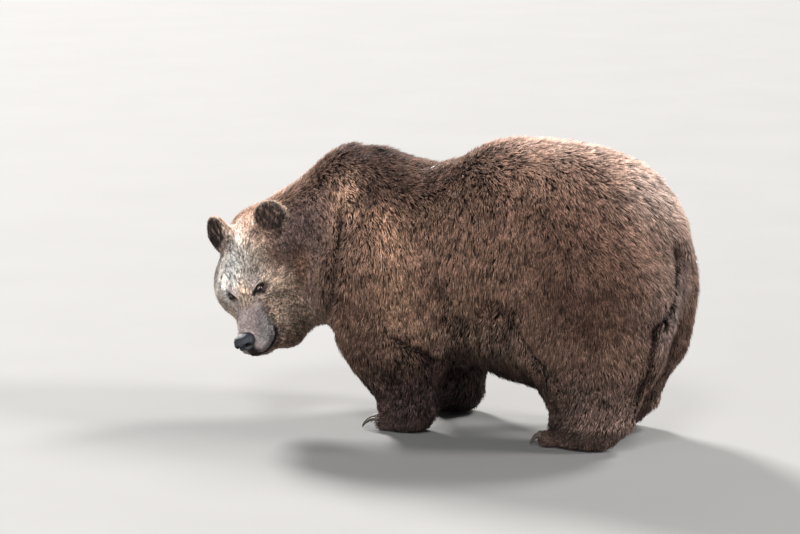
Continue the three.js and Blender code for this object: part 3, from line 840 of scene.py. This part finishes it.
def ear_marks(colour, p, head):
    """Brown behind, almost black inside, with a tan rim along the upper edge that is painted backlight.
    """
    ear = np.linalg.norm(head - EAR_AT, axis=1)
    opening = (head - EAR_AT) @ EAR_OPENING
    inner = (1 - ramp(ear, 0.046, 0.053)) * ramp(opening, -0.012, 0.004)
    inner *= 1 - 0.35 * ramp(waves(p, 280, 12), 0.25, 0.6)
    crest = ramp((head - EAR_AT) @ EAR_TOP, -0.034, -0.018)
    behind = (1 - ramp(ear, 0.060, 0.075)) * (1 - ramp(opening, -0.012, 0.0))
    behind *= ramp(head[:, 2], 0.12, 0.15)
    colour = washed(colour, behind, BROWN)
    colour = washed(colour, inner, INNER_EAR)
    return washed(colour, bell(ear - 0.056, 0.005) * ramp(opening, -0.02, 0.0) * crest, PAINTED_RIM_LIGHT)


def eye_marks(colour, head):
    """Grey-brown lids, the dark line from the inner corner, and a black edge round the slit."""
    local = (head - EYE_LEFT) @ eye_axes(1).T
    near_eye = np.abs(local[:, 2]) < 0.03
    lids = np.hypot(local[:, 0] / 1.4, local[:, 1] + 0.006)
    colour = washed(colour, (1 - ramp(lids, 0.010, 0.020)) * near_eye, LID_SKIN)
    gap, along = from_polyline(head, TEAR_LINE)
    colour = washed(colour, 1 - ramp(gap + 0.0010 * along, 0.0050, 0.0085), BLACK)
    slit = np.hypot((local[:, 0] + 0.001) / 1.5, local[:, 1] - 0.0022)
    return washed(colour, (1 - ramp(slit, 0.0098, 0.0125)) * near_eye, BLACK)


def lip_marks(colour, head):
    """Black lips, and a black strip from the nose down to them."""
    lips, _ = from_polyline(head, MOUTH)
    colour = washed(colour, 1 - ramp(lips, 0.0060, 0.0095), BLACK)
    below_nose = (head - NOSE_AT)[:, 2] < -0.012
    front_lip = (1 - ramp(np.abs(head[:, 1]), 0.010, 0.024)) * ramp(head[:, 0], 0.305, 0.325)
    strip = 0.9 * front_lip * below_nose * ramp(head[:, 2], -0.128, -0.112)
    return washed(colour, strip, BLACK)


def markings(p, fold):
    """The coat's colour at each place on the skin, with painted light and shade; in a fold it is darker
    with painted shade.
    """
    body, head = left_body(p), left_head(p)
    wander = 1 + 0.25 * waves(p, 16, 3)
    colour = np.broadcast_to(np.array(BROWN), p.shape).copy()
    for _, at, reach, over, strength in PATCHES:
        weight = strength * BODY_STRENGTH * lump(body, at, reach) * wander
        colour = washed(colour, weight, over)
    gap, _ = from_polyline(body, SHOULDER_BAND)
    colour = washed(colour, 0.65 * bell(gap, 0.070) * wander, WARM)
    # painted shade in the folds, where the skin is drawn in
    colour = washed(colour, 1.4 * fold, PAINTED_SHADE)
    for _, at, reach, over, strength in HEAD_PATCHES:
        weight = strength * HEAD_STRENGTH * lump(head, at, reach) * wander
        colour = washed(colour, weight, over)
    # Painted sunlight: a pale patch on the right half of the forehead only, where the strong light
    # falls, so the head isn't folded for it.
    sunlit_forehead = lump(in_head(p), (0.10, -0.070, 0.060), (0.11, 0.080, 0.09))
    colour = washed(colour, 1.2 * sunlit_forehead * wander, PALE)
    colour = ear_marks(muzzle_marks(colour, p, head), p, head)
    return lip_marks(eye_marks(colour, head), head)


def keep(mesh, name, values):
    """One number or one colour at each point, kept on the mesh for its material to read."""
    if values.ndim == 1:
        layer = mesh.attributes.new(name, "FLOAT", "POINT")
        layer.data.foreach_set("value", values.astype(np.float32))
    else:
        layer = mesh.attributes.new(name, "FLOAT_COLOR", "POINT")
        colours = np.c_[values, np.ones(len(values))]
        layer.data.foreach_set("color", colours.astype(np.float32).ravel())


# Under deep fur the skin is darker with painted shade, the shade deep in the coat, so that no gap
# between tufts shows light.
deep_fur = ramp(coat[:, 0], 0.004, 0.011)
skin_colour = markings(places, fold_share) * (1 - 0.72 * deep_fur)[:, None]
keep(mesh, "coat_colour", skin_colour)

skin_finish, shader = new_material("short_fur_on_skin", Roughness=0.7, Specular_IOR_Level=0.2)
base = read(skin_finish, "coat_colour").outputs["Color"]
flecks = ranged(skin_finish, noise(skin_finish, 330, 4, 0.65), 0.3, 0.7, 0.55, 1.25)
base = mixed(skin_finish, "MULTIPLY", 1.0, base, flecks)
join(skin_finish, base, shader.inputs["Base Color"])
bumped(skin_finish, shader, noise(skin_finish, 420, 3, 0.6), 0.0012, 0.8)
mesh.materials.append(skin_finish)
print("markings:", len(PATCHES) + len(HEAD_PATCHES), "patches")

# %% [markdown]
# The coat lies the way that hair grows and hangs: back along the spine, down the flanks and
# legs, and on the head up from the nose, over the crown, and out and down over the cheeks.
# A few named guides say so, and each tuft blends those nearest to it.

# %% Lie of the coat
# (place, direction), on the left side of the body; the right side mirrors them
BODY_LIE = [
    ((0.00, -0.80, 0.76), (0.0, 1.0, 0.05)),
    ((0.00, -0.56, 0.98), (0.0, 1.0, 0.10)),
    ((0.00, -0.25, 0.92), (0.05, 1.0, -0.10)),
    ((0.00, 0.15, 1.02), (0.05, 1.0, -0.10)),
    ((0.00, 0.50, 0.95), (0.05, 0.8, -0.60)),
    ((0.00, 0.68, 0.70), (0.10, 0.2, -1.0)),
    ((0.08, 0.66, 0.40), (0.05, 0.0, -1.0)),
    ((0.18, -0.50, 0.90), (0.4, 0.7, -0.60)),
    ((0.30, -0.45, 0.66), (0.1, 0.30, -1.0)),
    ((0.32, -0.40, 0.42), (0.0, 0.30, -1.0)),
    ((0.26, -0.10, 0.90), (0.5, 0.6, -0.70)),
    ((0.36, 0.00, 0.66), (0.1, 0.35, -1.0)),
    ((0.34, 0.05, 0.40), (-0.1, 0.15, -1.0)),
    ((0.28, 0.30, 0.92), (0.5, 0.6, -0.80)),
    ((0.37, 0.35, 0.62), (0.0, 0.30, -1.0)),
    ((0.34, 0.38, 0.35), (0.0, 0.15, -1.0)),
    ((0.28, 0.38, 0.12), (0.0, 0.05, -1.0)),
    ((0.26, -0.30, 0.20), (0.0, 0.25, -1.0)),
    ((0.20, -0.30, 0.10), (0.0, 0.05, -1.0)),
    ((0.18, -0.40, 0.05), (0.0, -1.0, -0.15)),
    ((0.20, 0.24, 0.05), (0.0, -1.0, -0.15)),
    ((0.00, 0.10, 0.20), (0.0, 0.9, -0.5)),
    ((0.00, -0.62, 0.40), (0.0, 0.3, -1.0)),
    ((0.22, -0.66, 0.62), (0.1, 0.5, -0.9)),
    ((0.16, -0.66, 0.42), (0.0, 0.3, -1.0)),
]
HEAD_LIE = [
    ((0.32, 0.00, -0.01), (-1.0, 0.0, 0.2)),
    ((0.20, 0.00, 0.04), (-1.0, 0.0, 0.3)),
    ((0.10, 0.00, 0.10), (-1.0, 0.0, 0.2)),
    ((-0.05, 0.00, 0.14), (-1.0, 0.1, -0.1)),
    ((0.28, 0.05, -0.06), (-1.0, 0.25, -0.1)),
    ((0.20, 0.08, -0.05), (-0.7, 0.6, -0.5)),
    ((0.14, 0.09, 0.03), (-0.6, 0.6, 0.0)),
    ((0.12, 0.13, -0.08), (-0.1, 0.5, -0.8)),
    ((0.02, 0.18, -0.02), (-0.5, 0.3, -0.8)),
    ((0.15, 0.10, -0.18), (0.2, 0.1, -1.0)),
    ((0.02, 0.16, -0.16), (-0.1, 0.1, -1.0)),
    ((0.26, 0.04, -0.15), (-0.6, 0.2, -0.8)),
    ((0.10, 0.00, -0.24), (-0.4, 0.0, -1.0)),
]
BODY_REACH, HEAD_REACH = 0.16, 0.055


def lie_of(p):
    """The direction that the guides give at each place on the skin."""
    body = in_body(p)
    side = np.where(body[:, 0] < 0, -1.0, 1.0)
    body[:, 0] *= side
    total = np.zeros_like(p)
    for at, way in BODY_LIE:
        weight = bell(np.linalg.norm(body - at, axis=1), BODY_REACH)[:, None] + 1e-9
        total += weight * unit(np.array(way))
    total = unit(total)
    total[:, 0] *= side
    head = in_head(p)
    side = np.where(head[:, 1] < 0, -1.0, 1.0)
    head[:, 1] *= side
    on_head, sure = np.zeros_like(p), np.zeros((len(p), 1))
    for at, way in HEAD_LIE:
        weight = bell(np.linalg.norm(head - at, axis=1), HEAD_REACH)[:, None]
        on_head += weight * unit(np.array(way))
        sure += weight
    on_head[:, 1] *= side
    share = np.clip(sure * 2.5, 0, 1)  # the head's guides rule wherever one is near
    total = total * (1 - share) + unit(on_head @ HEAD) * share
    ear = head - EAR_AT
    outward = unit(ear + 0.06 * EAR_TOP)  # on an ear, from its foot out to its rim
    outward[:, 1] *= side
    at_ear = 1 - ramp(np.linalg.norm(ear, axis=1), 0.062, 0.085)
    at_ear = (at_ear * ramp(ear @ EAR_TOP, -0.045, -0.020))[:, None]
    return total * (1 - at_ear) + (outward @ HEAD) * at_ear


def along_skin(way):
    return unit(way - normals * (way * normals).sum(1, keepdims=True))


# Spreading the directions over the skin takes away whorls where two guides meet. Two soft waves
# then turn the coat a little this way and that.
lie = along_skin(spread(along_skin(lie_of(places)), edges, 80, 0.5))
for strength, scale, seed in ((0.20, 9, 30), (0.16, 34, 40)):
    lie += strength * np.stack([waves(places, scale, seed + k) for k in range(3)], 1)
lie = along_skin(lie)
print("guides:", len(BODY_LIE), "on the body,", len(HEAD_LIE), "on the head")

# %% [markdown]
# A tuft is a closed spindle: it starts as a point under the skin, is widest at a bend two fifths
# of the way up, where it turns to lie along the body, and ends in a point. On the face, where
# fur is short, a tuft is a plain spike. Tufts are built in arrays and joined in one mesh for each
# region. Neighbouring tufts lean together at their tips, first in small locks and then in wide
# ones, as guard hairs do, and the tufts of one lock share some of their shade.

# %% Where the tufts stand


def region_map(name, faces):
    """The chosen triangles of the skin as their own mesh, unwrapped: the corners' map places."""
    used, index = np.unique(faces, return_inverse=True)
    chart = bpy.data.meshes.new(name)
    chart.from_pydata(places[used].tolist(), [], index.reshape(-1, 3).tolist())
    holder = placed(name, chart)
    bpy.context.view_layer.objects.active = holder
    holder.select_set(True)
    bpy.ops.object.mode_set(mode="EDIT")
    bpy.ops.mesh.select_all(action="SELECT")
    bpy.ops.uv.smart_project(angle_limit=math.radians(75), island_margin=0.004)
    bpy.ops.object.mode_set(mode="OBJECT")
    corners = numbers(chart.uv_layers[0].uv, "vector", np.float32, 2).reshape(-1, 3, 2)
    bpy.data.objects.remove(holder)
    bpy.data.meshes.remove(chart)
    low, high = corners.min((0, 1)), corners.max((0, 1))
    return 0.01 + 0.98 * (corners - low) / (high - low)


def sow(name, faces, count, draw):
    """Roots spread evenly over triangles of the skin: what the skin says at each."""
    a, b, c = (places[faces[:, k]] for k in range(3))
    area = np.linalg.norm(np.cross(b - a, c - a), axis=1)
    width = coat[faces, 2].mean(1)
    crowd = np.cumsum(area / width**1.2)
    picks = np.searchsorted(crowd, (np.arange(count) + draw.random(count)) / count * crowd[-1])
    picks = np.minimum(picks, len(faces) - 1)
    u, v = draw.random((2, count))
    u, v = np.where(u + v > 1, 1 - u, u), np.where(u + v > 1, 1 - v, v)
    share = np.stack([1 - u - v, u, v], 1)
    chosen = faces[picks]

    def mean(values):
        return (values[chosen] * share[:, :, None]).sum(1)

    chart = (region_map(name, faces)[picks] * share[:, :, None]).sum(1)
    return mean(places), unit(mean(normals)), mean(lie), mean(coat), chart


# %% Locks, and the faces of a tuft
BAKE_PATCH = 0.003  # the width of a tuft's patch on the bake map
GATHERING = (0.4, 1.0)  # each tuft's own share of its lock's pull
FURTHEST = 0.9  # tuft lengths; a tip further from its lock's tip stays where it is


def gathered(root, tip, length, lock, pull, draw):
    """Tips drawn towards the tip of the lock that each root is nearest to, and that lock."""
    heads = draw.choice(len(root), max(len(root) // lock, 1), replace=False)
    finder = KDTree(len(heads))
    for i, h in enumerate(heads):
        finder.insert(root[h], i)
    finder.balance()
    own_lock = np.array([finder.find(p)[1] for p in root])
    towards = tip[heads[own_lock]] - tip
    fits = np.linalg.norm(towards, axis=1) < FURTHEST * length
    share = pull * draw.uniform(*GATHERING, len(root)) * fits
    return tip + share[:, None] * towards, own_lock


def tuft_faces(bent):
    """A tuft's corner ids, face by face, and its place on the bake patch, corner by corner."""
    ids, spots = [], []
    for j in range(3):
        k = (j + 1) % 3
        left_edge, right_edge, centre = j / 3, (j + 1) / 3, (j + 0.5) / 3
        if bent:
            ids += [[0, 1 + k, 1 + j], [1 + j, 1 + k, 4]]
            spots += [(centre, 0), (right_edge, 0.4), (left_edge, 0.4)]
            spots += [(left_edge, 0.4), (right_edge, 0.4), (centre, 1)]
        else:
            ids.append([j, k, 3])
            spots += [(left_edge, 0.2), (right_edge, 0.2), (centre, 1)]
    if not bent:
        ids.append([2, 1, 0])
        spots += [(0.3, 0), (0.5, 0.2), (0.7, 0)]
    return np.array(ids), (np.array(spots) - 0.5) * BAKE_PATCH


# %% Tufts over a region
RING = np.array([[-1.0, 0.0], [1.0, 0.0], [0.0, 0.75]])  # across and outwards
STRAY = 0.20  # how far a tuft's own direction strays from the lie
LENGTHS, RISES, WIDTHS = (0.65, 1.15), (0.5, 1.05), (0.65, 1.3)  # each tuft's own share
SMALL_LOCK, WIDE_LOCK = 7, 70  # tufts in a lock
LOCK_SHADES = np.array([0.48, 0.40, 0.12])  # shares of a shade: own, small lock's, wide lock's
BEND_AT, BEND_OUT = 0.4, 0.16  # how far up a tuft it bends, and how far out
ROOT_BELOW, SPIKE_BELOW = 0.002, 0.001  # how far under the skin a tuft starts
ABOVE_FLOOR = 0.002  # no tip hangs lower
CALM = 0.75  # how much less tufts stray and gather in a fold
WIDE_PULL = 0.45  # how far wide locks gather, to small ones
LOWEST, STEEPEST = 0.10, 0.9  # rise to length
SHORT_FUR, LEAST_GRAIN = (0.009, 0.020), 0.3  # lengths over which the grain grows from its least
SPIKE_START = 0.15  # how far along, for its colour, a plain spike leaves the skin


def tuft_rows(root, out, way, sizes, bent, pull, stand, draw):
    """The points of all tufts, from their starts to their tips, and each tuft's shade."""
    count = len(root)
    depth, length, half, fold = sizes.T
    steady = (1 - CALM * np.clip(fold, 0, 1))[:, None]
    way = unit(way + STRAY * steady * draw.normal(size=way.shape))
    way = unit(way - out * (way * out).sum(1, keepdims=True))
    length = length * draw.uniform(*LENGTHS, count)
    rise = np.clip(depth * stand * draw.uniform(*RISES, count) / length, LOWEST, STEEPEST)
    flat = np.sqrt(1 - rise**2)
    tip = root + (way * flat[:, None] + out * rise[:, None]) * length[:, None]
    tip, small_lock = gathered(root, tip, length, SMALL_LOCK, pull * steady[:, 0], draw)
    tip, wide_lock = gathered(root, tip, length, WIDE_LOCK, WIDE_PULL * pull * steady[:, 0], draw)
    tip[:, 2] = np.maximum(tip[:, 2], ABOVE_FLOOR)
    own, small, wide = draw.random((3, count))
    shade = LOCK_SHADES @ np.stack([own, small[small_lock], wide[wide_lock]])
    spine = tip - root
    aside = unit(np.cross(out, unit(spine)))
    upward = unit(np.cross(unit(spine), aside))
    width = (half * draw.uniform(*WIDTHS, count))[:, None]
    if bent:
        bend = root + BEND_AT * spine + out * (BEND_OUT * length * (1 - rise))[:, None]
        start = [root - out * ROOT_BELOW]
    else:
        bend = root - out * SPIKE_BELOW
        start = []
    ring = [bend + width * (across * aside + up * upward) for across, up in RING]
    return np.stack([*start, *ring, tip], 1), shade


def tuft_mesh(name, rows, bent, chart):
    """Closed tufts as one mesh, each with its patch on the bake map."""
    count, per, _ = rows.shape
    ids, spots = tuft_faces(bent)
    mesh = bpy.data.meshes.new(name)
    mesh.vertices.add(count * per)
    mesh.vertices.foreach_set("co", rows.astype(np.float32).ravel())
    mesh.loops.add(count * ids.size)
    corners = (np.arange(count)[:, None] * per + ids.ravel()).astype(np.int32)
    mesh.loops.foreach_set("vertex_index", corners.ravel())
    mesh.polygons.add(count * len(ids))
    mesh.polygons.foreach_set("loop_start", np.arange(0, count * ids.size, 3, dtype=np.int32))
    mesh.update(calc_edges=True)
    shade_smooth(mesh)
    uv = np.clip(chart[:, None, :] + spots, 0.0005, 0.9995)
    layer = mesh.uv_layers.new(name="OFBake", do_init=False)
    layer.uv.foreach_set("vector", uv.astype(np.float32).ravel())
    return mesh


def grow(name, faces, count, bent, seed, pull, stand):
    """A piece of the coat: tufts over some triangles of the skin."""
    draw = np.random.default_rng(seed)
    root, out, way, sizes, chart = sow(name, faces, count, draw)
    rows, shade = tuft_rows(root, out, way, sizes, bent, pull, stand, draw)
    per = rows.shape[1]
    mesh = tuft_mesh(name, rows, bent, chart)
    along = [0.0, *[BEND_AT] * 3, 1.0] if bent else [*[SPIKE_START] * 3, 1.0]
    grain = LEAST_GRAIN + (1 - LEAST_GRAIN) * ramp(sizes[:, 1], *SHORT_FUR)
    keep(mesh, "along", np.tile(along, count))
    keep(mesh, "shade", np.repeat(shade, per))
    keep(mesh, "grain", np.repeat(grain, per))
    keep(mesh, "coat_colour", np.repeat(markings(root, sizes[:, 3]), per, axis=0))
    made = placed(name, mesh)
    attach(made, "root")
    mesh.materials.append(LONG_COAT if bent else SHORT_COAT)
    print(name, count, "tufts,", len(mesh.polygons), "triangles")
    return made


# %% [markdown]
# All tufts share one finish in two forms: soft shades for the long coat, and a stronger grizzle
# for the short fur of the head and paws.

# %% Coat finish
# The dark roots are partly the hair's own darker base and partly painted shade deep in the coat; the
# light tips are the hair's own.
DARK_ROOT, LIGHT_TIP = (0.28, 0.25, 0.24), (2.05, 2.06, 2.06)  # times the coat's own colour
CLIMB = (0.30, 0.95)  # how far along a tuft its root's colour ends and its tip's begins
LOCK_RANGE = (0.20, 1.95)  # the darkest and the lightest lock, times the coat's colour


def coat_finish(name, patch_range, grizzle_range):
    """Dark roots, partly painted shade deep in the coat, light tips, each lock with its own shade of
    colour, and a grizzled grain.
    """
    material, shader = new_material(name, Roughness=0.6, Specular_IOR_Level=0.17)
    own = read(material, "coat_colour").outputs["Color"]
    dark_root = mixed(material, "MULTIPLY", 1.0, own, DARK_ROOT)
    light_tip = mixed(material, "MULTIPLY", 1.0, own, LIGHT_TIP)
    climb = ranged(material, read(material, "along").outputs["Fac"], *CLIMB, 0.0, 1.0)
    blend = mixed(material, "MIX", climb, dark_root, light_tip)
    shade = ranged(material, read(material, "shade").outputs["Fac"], 0.2, 0.8, *LOCK_RANGE)
    blend = mixed(material, "MULTIPLY", 1.0, blend, shade)
    patches = ranged(material, noise(material, 16, 4), 0.3, 0.7, *patch_range)
    blend = mixed(material, "MULTIPLY", 1.0, blend, patches)
    grizzle = noise(material, 190, 2, 0.5, (1, 1, 0.45))
    grizzle = ranged(material, grizzle, 0.35, 0.65, *grizzle_range)
    blend = mixed(material, "MULTIPLY", read(material, "grain").outputs["Fac"], blend, grizzle)
    join(material, blend, shader.inputs["Base Color"])
    return material


LONG_COAT = coat_finish("long_coat", (0.90, 1.10), (0.72, 1.28))
SHORT_COAT = coat_finish("short_coat", (0.80, 1.18), (0.35, 1.70))
print("coat finishes:", LONG_COAT.name, SHORT_COAT.name)

# %% [markdown]
# The coat grows region by region, each with a seed of its own. The left side, which is seen from
# the camera, has more tufts than the right; the long fur is bent, and the short fur is not.

# %% Grow the coat, region by region
face_at = places[triangles].mean(1)
body_at = in_body(face_at)
face_kind = kinds[triangles[:, 0]]
left_half = body_at[:, 0] > 0


def part(*names):
    return np.isin(face_kind, names)


front_half = body_at[:, 1] < 0.1
# for each region: its faces, how many tufts, whether they are bent, how far they gather in locks,
# and how far they stand up
PLAN = {
    "coat_trunk_left_front": (part("trunk") & left_half & front_half, 27000, True, 0.5, 1.0),
    "coat_trunk_left_back": (part("trunk", "tail") & left_half & ~front_half, 25000, True, 0.5, 1.0),
    "coat_trunk_right_front": (part("trunk") & ~left_half & front_half, 18500, True, 0.5, 1.0),
    "coat_trunk_right_back": (part("trunk", "tail") & ~left_half & ~front_half, 18500, True, 0.5, 1.0),
    "coat_neck": (part("neck"), 20000, True, 0.4, 1.0),
    "coat_shoulder_left": (part("upper_arm") & left_half, 13000, True, 0.45, 1.0),
    "coat_shoulder_right": (part("upper_arm") & ~left_half, 8500, True, 0.45, 1.0),
    "coat_haunch_left": (part("thigh") & left_half, 18000, True, 0.45, 1.0),
    "coat_haunch_right": (part("thigh") & ~left_half, 12500, True, 0.45, 1.0),
    "coat_fore_legs": (part("forearm"), 12000, True, 0.45, 1.0),
    "coat_hind_legs": (part("shank"), 16000, True, 0.45, 1.0),
    "coat_paws": (part("forepaw", "hindpaw"), 10000, False, 0.3, 1.0),
    "coat_head": (part("head"), 49000, False, 0.35, 1.0),
    "coat_jaw": (part("lower_jaw"), 11000, False, 0.35, 1.0),
    "coat_ears": (part("ear"), 9000, False, 0.4, 1.1),
    "coat_muzzle": (part("muzzle"), 12500, False, 0.2, 1.0),
}
FIRST_SEED = 100
for number, (name, (chosen, count, bent, pull, stand)) in enumerate(PLAN.items()):
    made = grow(name, triangles[chosen], count, bent, FIRST_SEED + number, pull, stand)

# %% [markdown]
# Each eye is a ball with a dark brown iris and a black pupil under a clear bright surface.

# %% Eyes
PUPIL, IRIS, IRIS_OUTER = (0.002, 0.002, 0.002), (0.170, 0.085, 0.055), (0.300, 0.160, 0.100)
DARK_RING, BACK_OF_BALL = (0.012, 0.007, 0.005), (0.02, 0.012, 0.01)
COLOURS_END = 1 / 1.6  # share of the way from the pupil round to the back of the ball


def move_to(shape, axes, at):
    """Places a bmesh by its own axes, given as rows in the head's frame."""
    turn = Matrix((axes @ HEAD).T.tolist()).to_4x4()
    bmesh.ops.transform(shape, matrix=Matrix.Translation(from_head(at)) @ turn, verts=shape.verts)


eye_finish, shader = new_material("wet_eye", Roughness=0.08, Coat_Weight=0.6, Coat_Roughness=0.03)
ramp_node = node(eye_finish, "ShaderNodeValToRGB")
join(eye_finish, read(eye_finish, "from_pupil").outputs["Fac"], ramp_node.inputs["Fac"])
stops = ramp_node.color_ramp.elements
stops[0].color, stops[1].color = (*PUPIL, 1), (*BACK_OF_BALL, 1)  # at 0 and at 1
for position, colour in ((0.20, PUPIL), (0.24, IRIS), (0.50, IRIS_OUTER), (0.60, DARK_RING)):
    stops.new(position).color = (*colour, 1)
streaks = mixed(eye_finish, "MULTIPLY", 0.5, ramp_node.outputs["Color"], noise(eye_finish, 900, 3))
join(eye_finish, streaks, shader.inputs["Base Color"])

for side, word in ((1, "left"), (-1, "right")):
    ball = bmesh.new()
    bmesh.ops.create_uvsphere(ball, u_segments=48, v_segments=32, radius=EYE_RADIUS)
    angle = [v.co.angle(Vector((0, 0, 1))) / math.pi / COLOURS_END for v in ball.verts]
    move_to(ball, eye_axes(side), EYE_LEFT * [1, side, 1])
    bmesh.ops.recalc_face_normals(ball, faces=ball.faces)
    eye = object_from(ball, f"eyeball_{word}")
    keep(eye.data, "from_pupil", np.clip(angle, 0, 1))
    shade_smooth(eye.data)
    eye.data.materials.append(eye_finish)
    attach(eye, "root")
    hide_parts(f"eye_{word}")
print("eyes: 2, each", EYE_RADIUS * 2000, "mm across")

# %% [markdown]
# The nose is a pad of damp, pebbled leather, broad above and narrow below, with a groove down
# its middle and two nostrils like commas that open forwards and curl out to the sides.

# %% Nose
NOSE_HALF = np.array([0.0310, 0.0385, 0.0325])
HOLE_AT, HOLE_HALF, HOLE_DEPTH = (0.0175, 0.001), (0.0088, 0.0080), 0.016
GROOVE = (0.0018, 0.005)  # half width and depth
WING = 0.0028  # how far the rim of a nostril stands out
CURL = 0.006  # how deep a nostril's slit is at the side
# painted shade in the nose's hollows: the deeper they sink, the darker
DEEPEST = 0.011  # from here inwards the leather is as dark as it gets
NOSE_DARK, NOSE_LIGHT, NOSTRIL_SHADE = (0.005, 0.007, 0.011), (0.014, 0.017, 0.026), (0.003, 0.003, 0.003)

pad = bmesh.new()
bmesh.ops.create_icosphere(pad, subdivisions=6, radius=1)
d = np.array([v.co for v in pad.verts])
# A boxy ball, narrower and further back below, and a little lower at the middle of its top.
p = np.sign(d) * np.abs(d) ** [0.9, 0.82, 0.85] * NOSE_HALF
p[:, 1] *= 1 - 0.34 * ramp(-d[:, 2], -0.2, 1.0)
p[:, 0] -= 0.008 * ramp(-d[:, 2], 0.0, 1.0)
p[:, 2] -= 0.004 * ramp(d[:, 2], 0.3, 1.0) * (1 - np.abs(d[:, 1]))
front = ramp(d[:, 0], 0.0, 0.4)
across = np.abs(p[:, 1])
from_hole = np.linalg.norm((np.c_[across, p[:, 2]] - HOLE_AT) / HOLE_HALF, axis=1)
hole = bell(from_hole, 1.0)
wing = bell(from_hole - 1.75, 0.35)
curl = bell((p[:, 2] + 0.009 + 0.2 * (across - 0.023)) / 0.0028, 1.0) * ramp(across, 0.016, 0.022)
curl *= 1 - ramp(across, 0.028, 0.034)
groove = bell(across, GROOVE[0]) * (1 - ramp(p[:, 2], 0.0, 0.010))
sunk = front * (HOLE_DEPTH * np.clip(hole * 1.5, 0, 1) + GROOVE[1] * groove - WING * wing)
sunk += ramp(d[:, 0], -0.3, 0.1) * CURL * curl
p -= unit(d / NOSE_HALF) * sunk[:, None]
for vertex, place in zip(pad.verts, from_head(NOSE_AT + p)):
    vertex.co = place
nose = object_from(pad, "nose_pad")
shade_smooth(nose.data)
keep(nose.data, "sunk", np.maximum(sunk, 0) / DEEPEST)
nose_finish, shader = new_material(
    "nose_leather", Roughness=0.42, Specular_IOR_Level=0.45, Coat_Weight=0.05, Coat_Roughness=0.3
)
# The nose's hollows, the nostrils, the groove and the curl, are painted darker the deeper they sink:
# painted shade.
deep = ranged(nose_finish, read(nose_finish, "sunk").outputs["Fac"], 0.1, 0.6, 0.0, 1.0)
tone = mixed(nose_finish, "MIX", noise(nose_finish, 160, 4), NOSE_DARK, NOSE_LIGHT)
tone = mixed(nose_finish, "MIX", deep, tone, NOSTRIL_SHADE)
join(nose_finish, tone, shader.inputs["Base Color"])
pebbles = node(nose_finish, "ShaderNodeTexVoronoi", Scale=520.0)
place = node(nose_finish, "ShaderNodeTexCoord").outputs["Object"]
join(nose_finish, place, pebbles.inputs["Vector"])
bumped(nose_finish, shader, pebbles.outputs["Distance"], 0.0011, 0.8)
nose.data.materials.append(nose_finish)
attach(nose, "root")
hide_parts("nose")
print("nose:", len(nose.data.polygons), "triangles")

# %% [markdown]
# A claw is a curved horn, deeper than it is wide, and blunt with wear. Each starts where its
# solid starts and follows the same arch to a tip just above the floor.

# %% Claws
CLAW_HALF, CLAW_TAPER, CLAW_NARROW = 0.0072, 0.86, 0.62  # half depth, its loss, width to depth
HIDDEN = 0.010  # how far a claw starts inside the fur
CLAW_DARK, CLAW_LIGHT = (0.022, 0.016, 0.012), (0.070, 0.050, 0.036)
RINGS, SIDES = 14, 12


def claw(name):
    """A horn swept from the back of the node's box, over its top, down to its low front."""
    co = np.array([v.co for v in NODES[name].data.vertices])
    paw = middle(f"{name.split('_')[0]}paw_{name.split('_')[2]}")
    ahead = unit((co.mean(0) - paw) * [1, 1, 0])
    reach = (co - paw) @ ahead
    root, tip = co[reach < reach.min() + 0.004].mean(0), co[reach.argmax()]
    top = co[:, 2].max()
    made = bmesh.new()
    start = root - ahead * HIDDEN
    crest = np.array([*(start[:2] * 0.45 + tip[:2] * 0.55), top + 0.002])
    aside = np.cross(ahead, [0, 0, 1])
    before = None
    for i in range(RINGS + 1):
        t = i / RINGS
        at = (1 - t) ** 2 * start + 2 * t * (1 - t) * crest + t**2 * tip
        if i == RINGS:
            last = made.verts.new(at + [0, 0, 0.0005])
            for a, b in zip(before, before[1:] + before[:1]):
                made.faces.new((a, b, last))
            break
        slope = unit(2 * (1 - t) * (crest - start) + 2 * t * (tip - crest))
        upward = np.cross(aside, slope)
        half = CLAW_HALF * (1 - CLAW_TAPER * t**1.4)
        ring = []
        for j in range(SIDES):
            a = 2 * math.pi * j / SIDES
            out = CLAW_NARROW * math.cos(a) * aside + math.sin(a) * upward
            ring.append(made.verts.new(at + half * out))
        if before:
            for j in range(SIDES):
                k = (j + 1) % SIDES
                made.faces.new((before[j], before[k], ring[k], ring[j]))
        before = ring
    bmesh.ops.holes_fill(made, edges=made.edges, sides=SIDES)
    bmesh.ops.recalc_face_normals(made, faces=made.faces)
    return made


claw_finish, shader = new_material("claw_horn", Roughness=0.55)
grain = noise(claw_finish, 90, 4, 0.6, (1, 1, 3))
join(
    claw_finish,
    mixed(claw_finish, "MIX", grain, CLAW_DARK, CLAW_LIGHT),
    shader.inputs["Base Color"],
)
bumped(claw_finish, shader, noise(claw_finish, 500, 3), 0.0005, 0.5)
for name in CLAWS:
    horn = object_from(claw(name), name.replace("claw", "horn"))
    shade_smooth(horn.data)
    horn.data.materials.append(claw_finish)
    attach(horn, "root")
    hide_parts(name)
print("claws:", len(CLAWS))

# %% Sizes, and the end
low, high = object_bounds()
